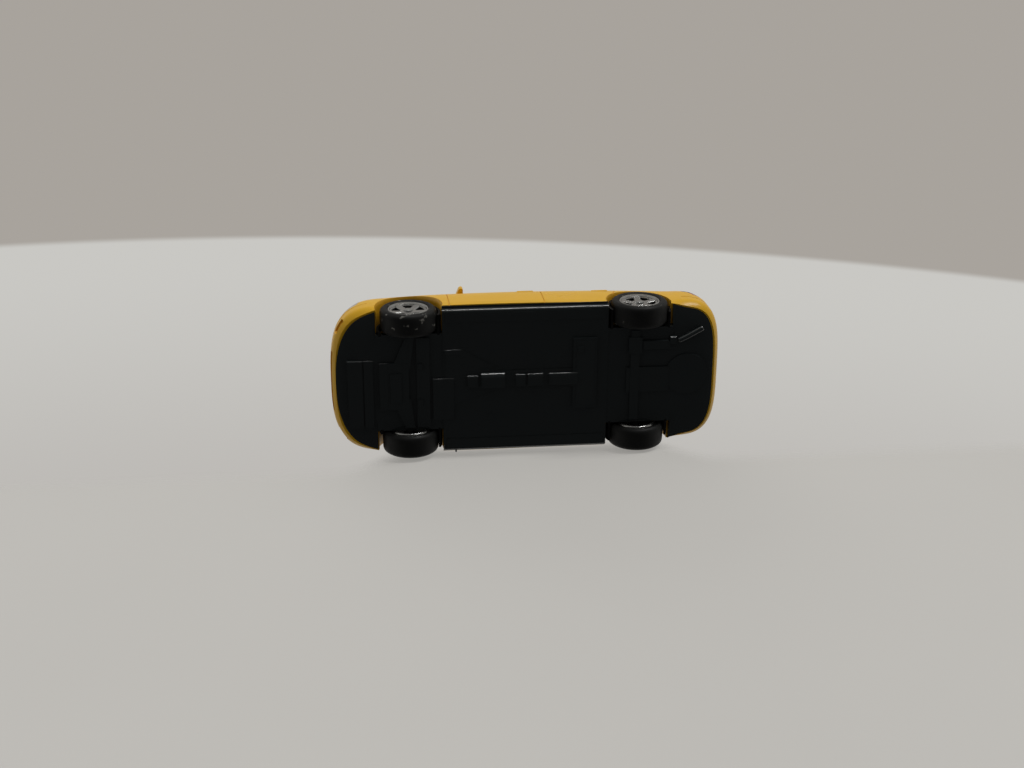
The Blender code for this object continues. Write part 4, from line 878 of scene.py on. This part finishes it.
def body_form(skin, foot):
    """The lower body, drawn in by skin, standing on a foot at that height."""
    rings = [flank_ring(skin, foot, SKIRT)] if foot < SKIRT else []
    for height in (SKIRT, 3.2, 3.4, 3.65, 3.9, FLANK_LOW, 4.7, 5.15, FLANK_HIGH):
        rings.append(flank_ring(skin, height, height))
    for step in range(1, 13):
        climb, upright = bow(step, 12, SHOULDER_POWER)
        lean = 1 - upright
        loop = plan_loop(skin + SHOULDER_IN * lean, skin + NOSE_RAKE * lean, skin + TAIL_RAKE * lean)
        rings.append([(x, y, mix(FLANK_HIGH, deck_height(x, y) - skin, climb)) for x, y in loop])
    for share in (0.05, 0.12, 0.22, 0.34, 0.47, 0.6, 0.73, 0.85, 0.95):
        inner = []
        for x, y in loop:
            x, y = x * (1 - share), mix(y, min(max(y, NOSE + NOSE_DEPTH), TAIL - TAIL_DEPTH), share)
            inner.append((x, y, deck_height(x, y) - skin))
        rings.append(inner)
    bm = loft(rings)
    top = max((f for f in bm.faces if len(f.verts) > 8), key=lambda f: f.calc_center_median().z)
    verts = sorted(top.verts, key=lambda v: v.co.y)
    bm.faces.remove(top)
    left, right = [v for v in verts if v.co.x > 1e-6], [v for v in verts if v.co.x < -1e-6]
    ends = [v for v in verts if abs(v.co.x) <= 1e-6]
    for (a, b), (c, d) in zip(zip(left, left[1:]), zip(right, right[1:])):
        bm.faces.new((a, b, d, c))
    bm.faces.new((ends[0], left[0], right[0]))
    bm.faces.new((ends[1], right[-1], left[-1]))
    bmesh.ops.recalc_face_normals(bm, faces=bm.faces[:])
    return bm


def oblong(inner, outer, low, high, side, grow):
    """A lamp's outline on one side of the car as (x, z), grown all round."""
    xs = (side * (inner - grow), side * (outer + grow))
    return [(xs[0], low - grow), (xs[1], low - grow), (xs[1], high + grow), (xs[0], high + grow)]


LAMPS = {
    "headlight": (4.0, 9.1, 5.9, 7.3, NOSE),
    "tail_light": (5.0, 8.9, 6.6, 8.5, TAIL),
}


def lamp_bar(lamp, side, grow):
    """The bar that cuts a lamp's seat in the shell, or bounds its lens."""
    inner, outer, low, high, end = LAMPS[lamp]
    inside, tip = end - math.copysign(INSERT_DEPTH, end), end + math.copysign(1, end)
    return prism(oblong(inner, outer, low, high, side, grow), "y", inside, tip, INSERT_CORNER)


def inlay(name, bar, materials):
    """A piece of the body's own skin, bounded by a bar, with its back in the last material."""
    piece = form(body_form(INSERT_RECESS, SKIRT), materials)
    combine(piece, form(bar, materials), "INTERSECT")
    combine(piece, form(body_form(SHELL_WALL, SKIRT - 1), materials, len(materials) - 1), "DIFFERENCE")
    piece.name = piece.data.name = name
    return piece


def fluted(material, pitch, depth):
    """Adds the upright flutes of a lamp lens to a plastic."""
    tree = material.node_tree
    relief = next(node for node in tree.nodes if node.type == "BUMP")
    place = add_node(tree, "TexCoord").outputs["Object"]
    wave = add_node(tree, "TexWave", Vector=place, Scale=1 / (METRES * pitch) / 3.2)
    relief.inputs["Strength"].default_value = depth
    feed(tree, relief.inputs["Height"], wave.outputs["Fac"])


SILVERED = plastic("silvered_back", (0.55, 0.55, 0.54), (0.48, 0.48, 0.47), 2.0, 6.0, (0.2, 0.3), 0.1,
                   Metallic=0.9)
LAMP_CLEAR = plastic("lens_clear", (0.62, 0.63, 0.63), (0.5, 0.51, 0.52), 1.2, 6.0, (0.12, 0.2), 0.1,
                     Metallic=0.55, Coat_Weight=1.0, Coat_Roughness=0.04)
LAMP_RED = plastic("lens_red", (0.34, 0.006, 0.006), (0.24, 0.004, 0.004), 1.2, 6.0, (0.1, 0.16), 0.1)
fluted(LAMP_CLEAR, 0.5, 0.35)
fluted(LAMP_RED, 0.5, 0.2)
for lamp, slot, lens in (("headlight", "lamp_clear", LAMP_CLEAR), ("tail_light", "lamp_red", LAMP_RED)):
    for name, side in SIDES:
        piece = inlay(f"{lamp}_{name}_lens", lamp_bar(lamp, side, 0), [lens, SILVERED])
        piece.data.materials.clear()
        fit_piece(piece, "car", [f"{lamp}_{name}"], [lens, SILVERED])

# ----------------------------------------
# Grille: a black plastic insert with level bars, pressed into a seat in the nose of the shell
# between the headlights.

GRILLE_HALF, GRILLE_LOW, GRILLE_HIGH = 3.2, 6.1, 7.3
GAP_LEVELS, GAP_HALF, GAP_REACH, GAP_DEPTH = (6.32, 6.56, 6.8, 7.04), 0.07, 2.95, 0.32


def grille_bar(grow):
    """The bar that cuts the grille's seat in the shell, or bounds the grille."""
    outline = oblong(-GRILLE_HALF, GRILLE_HALF, GRILLE_LOW, GRILLE_HIGH, 1, grow)
    return prism(outline, "y", NOSE + INSERT_DEPTH, NOSE - 1, INSERT_CORNER)


grille = inlay("grille_insert", grille_bar(0), [BLACK_TRIM])
for height in GAP_LEVELS:
    bar = block((-GAP_REACH, NOSE - 1, height - GAP_HALF), (GAP_REACH, NOSE + 4, height + GAP_HALF))
    gap = form(bar, [BLACK_TRIM])
    combine(gap, form(body_form(GAP_DEPTH, SKIRT - 1), [BLACK_TRIM]), "DIFFERENCE")
    combine(grille, gap, "DIFFERENCE")
grille.data.materials.clear()
fit_piece(grille, "car", ["front_grille"], [BLACK_TRIM])

# ----------------------------------------
# Body shell: one hollow moulding in glossy yellow plastic with bumpers, arches, bonnet, doors and
# boot engraved in it. It is not painted. Its inner faces, wheel drums, arch lips, seats, pockets and
# shut lines take a deeper orange copy of the yellow: painted glow of light through the thin plastic
# and painted shade in the hollows. It clips over the lips of the chassis.

ARCH_RADIUS, ARCH_FLARE, BUMPER_LINE, BUMPER_REACH = 4.0, 0.16, 5.35, 4.5
FLAP_Y, FLAP_Z, FLAP_RADIUS, POCKET_DEPTH = 19.2, 7.4, 0.8, 0.25


def flank_face(y, z):
    """Distance of the flank's outside from the centre plane at y and z."""
    low = max(0.0, min(1.0, (FLANK_LOW - z) / (FLANK_LOW - SKIRT)))
    climb = max(0.0, min(1.0, (z - FLANK_HIGH) / (deck_height(half_width(y), y) - FLANK_HIGH)))
    lean = 1 - (1 - climb**SHOULDER_POWER) ** (1 / SHOULDER_POWER)
    return half_width(y) - TUCK_IN * low**2 - SHOULDER_IN * lean


def wheel_housing(axle_y, side):
    """The drum that lines a wheel opening, still filled, rooted in the flank."""
    inner, outer = [], []
    for step in range(96):
        angle = 2 * math.pi * (step + 0.5) / 96
        y = axle_y + HOUSING_RADIUS * math.cos(angle)
        z = max(AXLE_HEIGHT + HOUSING_RADIUS * math.sin(angle), SKIRT + FIT)
        inner.append((side * (WELL_INNER + FIT), y, z))
        outer.append((side * (flank_face(y, z) - SHELL_WALL / 2), y, z))
    return loft([inner, outer])


def arch_cutter(axle_y):
    """A bar through both wheel openings of an axle, flared at its ends for the chamfered lips."""
    lip, rim, reach = WIDTH / 2 - 0.75, WIDTH / 2 - 0.25, WIDTH / 2 + 1
    flared = ARCH_RADIUS + ARCH_FLARE
    left = [(lip, ARCH_RADIUS), (rim, flared), (reach, flared + 0.6), (reach, 0)]
    bm = turned([(-x, radius) for x, radius in left[::-1]] + left, 128)
    bmesh.ops.translate(bm, vec=(0, axle_y, AXLE_HEIGHT), verts=bm.verts)
    return bm


def groove(path, width=0.11, depth=0.1):
    """A shut line: a narrow wedge along a path of (point, outward direction) pairs."""
    rings = []
    for number, (point, outward) in enumerate(path):
        before, after = neighbours(path, number)
        ahead = (after[0] - before[0]).normalized()
        side = ahead.cross(outward).normalized() * width / 2
        top, bottom = point + outward * depth, point - outward * depth
        rings.append([top + side * 1.5, top - side * 1.5, bottom - side * 0.5, bottom + side * 0.5])
    return loft(rings)


def slopes(surface, first, second, step=0.05):
    """How steeply a surface rises along each of its two coordinates."""
    return ((surface(first + step, second) - surface(first - step, second)) / (2 * step),
            (surface(first, second + step) - surface(first, second - step)) / (2 * step))


def on_flank(side, y, z):
    """A point of the flank with its outward direction."""
    along, up = slopes(flank_face, y, z)
    return Vector((side * flank_face(y, z), y, z)), Vector((side, -along, -up)).normalized()


def on_deck(x, y):
    """A point of bonnet or boot lid with its outward direction."""
    across, along = slopes(deck_height, x, y)
    return Vector((x, y, deck_height(x, y))), Vector((-across, -along, 1)).normalized()


def spaced(points, count=24):
    """Points at even shares of a path of straight runs."""
    path = []
    for start, end in zip(points, points[1:]):
        path += [tuple(mix(a, b, step / count) for a, b in zip(start, end)) for step in range(count)]
    return path + [points[-1]]


def shut_lines():
    """Doors, bonnet, boot lid, fuel flap and bumper lines, as wedges to be cut from the shell."""
    doors = ([(-9.7, 3.0), (-9.75, 8.7)], [(2.1, 3.0), (2.1, 8.9)], [(11.2, 6.4), (11.9, 9.0)])
    wedges = []
    for side in (1, -1):
        for line in doors:
            wedges.append(groove([on_flank(side, y, z) for y, z in spaced(line)]))
        bonnet = [on_deck(side * x, y) for x, y in spaced([(5.9, -21.4), (7.0, -12.2)])]
        boot = [on_deck(side * x, y) for x, y in spaced([(6.6, 17.8), (6.3, 22.2)])]
        wedges += [groove(bonnet), groove(boot)]
    for half, edge, middle in ((6, -21.4, -21.9), (7, -12.2, -12.7), (6.3, 22.2, 22.4)):
        line = spaced([(-half, 0), (half, 0)])
        wedges.append(groove([on_deck(x, mix(edge, middle, 1 - (x / half) ** 2)) for x, _ in line]))
    turns = [math.radians(mix(5, 355, step / 40)) for step in range(41)]
    flap = [(FLAP_Y + FLAP_RADIUS * math.sin(a), FLAP_Z + FLAP_RADIUS * math.cos(a)) for a in turns]
    wedges.append(groove([on_flank(-1, y, z) for y, z in flap]))
    for limit in (FRONT_AXLE - BUMPER_REACH, REAR_AXLE + BUMPER_REACH):
        wedges.append(groove(round_end(limit, BUMPER_LINE)))
    return wedges


def round_end(limit, height):
    """A level path round the nose or the tail, as far as limit, with its outward directions."""
    loop = plan_loop(0, 0, 0)
    ahead = [point for point in loop if (point[1] < limit if limit < 0 else point[1] > limit)]
    ahead.sort(key=lambda point: point[0])
    path = []
    for number, (x, y) in enumerate(ahead):
        before, after = neighbours(ahead, number)
        along = Vector((after[0] - before[0], after[1] - before[1], 0)).normalized()
        outward = Vector((along.y, -along.x, 0)) if limit < 0 else Vector((-along.y, along.x, 0))
        path.append((Vector((x, y, height)), outward))
    return path


def pockets():
    """Air intake and fog lamp seats in the front apron, all shallow."""
    seats = [prism(oblong(-3.9, 3.9, 3.6, 4.5, 1, 0), "y", NOSE - 1, NOSE + 4, 0.2)]
    seats += [prism(oblong(6.2, 7.9, 3.6, 4.5, side, 0), "y", NOSE - 1, NOSE + 5, 0.2) for side in (1, -1)]
    return gather(*seats)


def handle(side, y):
    """A door handle: a low bar on the shoulder of the flank."""
    level, half_length, half_height = 7.9, 1.05, 0.2
    face = flank_face(y, level)
    low, high = span(side, face - 0.2, face + 0.1)
    return block((low, y - half_length, level - half_height),
                 (high, y + half_length, level + half_height), 0.1)


YELLOW = plastic("shell_yellow", (0.66, 0.372, 0.01), (0.63, 0.345, 0.008), 0.12, 6.0, (0.26, 0.34), 0.04,
                 Specular_IOR_Level=0.3)
# Deeper orange copy of the yellow on inner faces, drums, arch lips, seats, pockets and shut lines: painted
# glow and painted shade.
SHADE_GLOW_YELLOW = plastic("shell_painted_shade_glow", (0.66, 0.34, 0.012), (0.6, 0.3, 0.01), 0.3, 6.0, (0.4, 0.5),
                      0.08)
SHELL_SKINS = [YELLOW, SHADE_GLOW_YELLOW]
shell = form(body_form(0, SKIRT), SHELL_SKINS)
drums = [wheel_housing(y, side) for _, y in WHEELSETS for side in (1, -1)]
seats = [lamp_bar(lamp, side, FIT) for lamp in LAMPS for side in (1, -1)]
for shapes, skin, operation in (
    ([cabin_form(0)], 0, "UNION"),
    ([body_form(SHELL_WALL, SKIRT - 1)], 1, "DIFFERENCE"),
    ([cabin_form(SHELL_WALL)], 1, "DIFFERENCE"),
    (door_windows(0), 0, "DIFFERENCE"),
    (end_windows(0), 0, "DIFFERENCE"),
    (drums, 1, "UNION"),
    ([arch_cutter(y) for _, y in WHEELSETS], 1, "DIFFERENCE"),
    ([*seats, grille_bar(FIT)], 1, "DIFFERENCE"),
):
    combine(shell, form(gather(*shapes), SHELL_SKINS, skin), operation)
hollows = form(pockets(), SHELL_SKINS, 1)
combine(hollows, form(body_form(POCKET_DEPTH, SKIRT - 1), SHELL_SKINS, 1), "DIFFERENCE")
combine(shell, hollows, "DIFFERENCE")
for wedge in shut_lines():
    combine(shell, form(wedge, SHELL_SKINS, 1), "DIFFERENCE")
handles = [handle(side, y) for side in (1, -1) for y in (0.2, 9.66)]
shell = make_object("shell_moulding", gather(taken_up(shell), *handles))
fit_piece(shell, "car", ["body_shell"], SHELL_SKINS)

# ----------------------------------------
# Door mirrors: small housings moulded in yellow plastic with a silvered face, each plugged by its
# peg into the shoulder of the shell.

MIRROR_Y, MIRROR_X, MIRROR_FOOT = -7.95, 7.8, 9.5


def mirror_shapes(side):
    """Housing drawn in plan, its stalk, and the silvered face at the back."""
    tip, root = side * 9.58, side * 7.6
    back, front, rise = MIRROR_Y + 0.45, MIRROR_Y - 0.5, 1.0
    low = MIRROR_FOOT + 0.55
    outline = [(root, back), (root, front + 0.35), (mix(root, tip, 0.4), front), (tip, front + 0.5),
               (tip, back)]
    housing = prism(outline, "z", low, low + rise, 0.25, 0.22)
    stalk = pipe([(side * MIRROR_X, MIRROR_Y, z) for z in (MIRROR_FOOT - 0.4, low + 0.5)], 0.3, 16)
    right, left = sorted((root + side * 0.25, tip - side * 0.25))
    face = block((right, back - 0.1, low + 0.22), (left, back + 0.03, low + rise - 0.22), 0.03)
    return housing, stalk, in_material(face, 1)


for name, side in SIDES:
    mirror = make_object(f"{name}_mirror_housing", gather(*mirror_shapes(side)))
    fit_piece(mirror, "car", [f"door_mirror_{name}"], [YELLOW, SILVERED])

# ----------------------------------------
# Stage: the car lies on its right side on a pale matt table, seen from below; the same pale floor
# carries it when it stands on its wheels. Both are flat sheets, seen from their upper side alone.

TABLE_X, FLOOR_COLOUR = -9.84, (0.56, 0.545, 0.515)
TABLE_SHARE, TABLE_GLOW, TABLE_REACH, TABLE_LOW, TABLE_HIGH = 0.44, 1.13, 600, -500, 12
FLOOR_REACH, MOTTLE, SMOOTH = 3000, 30.0, {"interpolation_type": "SMOOTHSTEP"}


def pale_surface(name, fade):
    """A matt pale surface with a faint mottle, clear from behind and where it fades out."""
    material = bpy.data.materials.new(name)
    material.use_nodes = True
    tree = material.node_tree
    matt = tree.nodes["Principled BSDF"].inputs
    matt["Roughness"].default_value, matt["Specular IOR Level"].default_value = 0.9, 0.1
    place = add_node(tree, "TexCoord").outputs["Object"]
    share = TABLE_SHARE if fade else 1.0
    pale, dull = ((*(c * share * shade for c in FLOOR_COLOUR), 1) for shade in (1.0, 0.96))
    tint = blend(tree, noise(tree, place, MOTTLE), pale, dull)
    feed(tree, matt["Base Color"], tint)
    away = add_node(tree, "NewGeometry").outputs["Backfacing"]
    if fade:
        matt["Emission Strength"].default_value = TABLE_GLOW
        feed(tree, matt["Emission Color"], tint)
        split = add_node(tree, "SeparateXYZ", place).outputs
        near, far, high, low, run = (size * METRES for size in (14, 24, 1, -5, 5))
        limit = ramp(tree, figure(tree, "ABSOLUTE", split["Y"]), near, far, To_Min=high, To_Max=low, **SMOOTH)
        past = figure(tree, "SUBTRACT", split["Z"], limit)
        away = figure(tree, "MAXIMUM", ramp(tree, past, 0, run, **SMOOTH), away)
    gone = add_node(tree, "BsdfTransparent").outputs["BSDF"]
    seen = add_node(tree, "MixShader", away, tree.nodes["Principled BSDF"].outputs["BSDF"], gone)
    feed(tree, tree.nodes["Material Output"].inputs["Surface"], seen.outputs["Shader"])
    return material


def sheet(name, material, corners, hole=()):
    """A flat rectangle, with a hole in it if one is given; its upper side follows from their order."""
    bm = bmesh.new()
    edges = edge_loop(bm, corners)
    if hole:
        bmesh.ops.bridge_loops(bm, edges=edges + edge_loop(bm, hole))
    else:
        bmesh.ops.edgeloop_fill(bm, edges=edges)
    obj = make_object(name, bm)
    obj.data.materials.append(material)
    obj.visible_diffuse = obj.visible_shadow = False
    return obj


def floor_corners(x, y):
    """The corners of a floor that reaches x and y from the middle, its upper side up."""
    return [(-x, -y, 0), (x, -y, 0), (x, y, 0), (-x, y, 0)]


table = sheet("table", pale_surface("table_top", True),
              [(TABLE_X, -TABLE_REACH, TABLE_LOW), (TABLE_X, TABLE_REACH, TABLE_LOW),
               (TABLE_X, TABLE_REACH, TABLE_HIGH), (TABLE_X, -TABLE_REACH, TABLE_HIGH)])
wide_floor = floor_corners(FLOOR_REACH, FLOOR_REACH)
floor = sheet("floor", pale_surface("floor_top", False), wide_floor)
table.visible_glossy = floor.visible_glossy = False
# The floor that paint and glass reflect stops short of the underside, which faces the dark room.
mirrored_floor = sheet("mirrored_floor", floor.data.materials[0], wide_floor, floor_corners(12, 27))
mirrored_floor.visible_camera = False


def place_lamp(name, light, direction, distance):
    """Hangs a lamp in a direction from the car, shining on it, its long side along the car."""
    obj = add_object(name, light)
    away = Vector(direction).normalized()
    obj.location = away * distance
    across = away.cross(Vector((0, 1, 0))).normalized()
    obj.rotation_euler = Matrix((across.cross(away), across, away)).transposed().to_euler()
    return obj


CEILING_REACH, CEILING_SIZE, CEILING_LIGHT = 6.0, (3.6, 0.6), 5.5
ceiling = bpy.data.lights.new("ceiling_lamp", "AREA")
ceiling.shape, ceiling.size, ceiling.size_y = "RECTANGLE", *CEILING_SIZE
ceiling.energy = CEILING_LIGHT * CEILING_REACH**2
place_lamp("ceiling_lamp", ceiling, (1.0, 0.34, 0.03), CEILING_REACH)
upper = bpy.data.lights.new("upper_lamp", "SUN")
upper.energy, upper.angle = 1.5, math.radians(60)
place_lamp("upper_lamp", upper, (0.15, -0.3, 0.95), 1.0).visible_glossy = False

NEAR_TABLE, FAR_TABLE = (0.505, 0.488, 0.464, 1), (0.584, 0.576, 0.55, 1)
WALL, DARK_SIDE = (0.392, 0.366, 0.335, 1), (0.03, 0.03, 0.03, 1)
ROOM_LIGHT, ROOM_SHADE = (0.47, 0.465, 0.455, 1), (0.07, 0.07, 0.07, 1)


def pale_room():
    """Even light from all round; what is seen directly is the far table with the wall behind it."""
    world = bpy.context.scene.world or bpy.data.worlds.new("room")
    bpy.context.scene.world = world
    world.use_nodes = True
    tree = world.node_tree
    tree.nodes.clear()
    rays = add_node(tree, "LightPath").outputs
    direct = figure(tree, "MAXIMUM", rays["Is Camera Ray"], rays["Is Glossy Ray"])
    direct = figure(tree, "MAXIMUM", direct, rays["Is Transmission Ray"])
    way = add_node(tree, "SeparateXYZ", add_node(tree, "TexCoord").outputs["Generated"]).outputs
    tilt = figure(tree, "MULTIPLY_ADD", way["Y"], 0.03, way["X"])
    behind, upward = ramp(tree, tilt, -0.2668, -0.2626, **SMOOTH), ramp(tree, way["Z"], 0.6, 0.8, **SMOOTH)
    seen = blend(tree, ramp(tree, tilt, -0.44, -0.27, **SMOOTH), NEAR_TABLE, FAR_TABLE)
    seen = blend(tree, figure(tree, "MULTIPLY", behind, upward), seen, WALL)
    seen = blend(tree, ramp(tree, way["Z"], -0.1, -0.6, **SMOOTH), seen, DARK_SIDE)
    ambient = blend(tree, ramp(tree, way["Z"], -0.1, -0.9), ROOM_LIGHT, ROOM_SHADE)
    skies = [add_node(tree, "Background", colour).outputs["Background"] for colour in (ambient, seen)]
    choice = add_node(tree, "MixShader", direct, *skies).outputs["Shader"]
    add_node(tree, "OutputWorld", choice)


pale_room()

CAMERA_PLACE = Vector((66.7, -21.02, -172.26)) * METRES
camera = add_object("camera", bpy.data.cameras.new("camera"))
camera.data.lens, camera.data.sensor_width, camera.data.sensor_fit = 52.84, 36.0, "HORIZONTAL"
camera.data.clip_start, camera.data.clip_end = 0.005, 20.0
ahead = Vector((-0.3582, 0.1011, 0.9281)).normalized()
upward = Vector((0.9336, 0.035, 0.3566))
upward = (upward - ahead * upward.dot(ahead)).normalized()
turn = Matrix((ahead.cross(upward), upward, -ahead)).transposed().to_4x4()
camera.matrix_world = Matrix.Translation(CAMERA_PLACE) @ turn
bpy.context.scene.camera = camera
bpy.context.scene.view_settings.view_transform = "Standard"
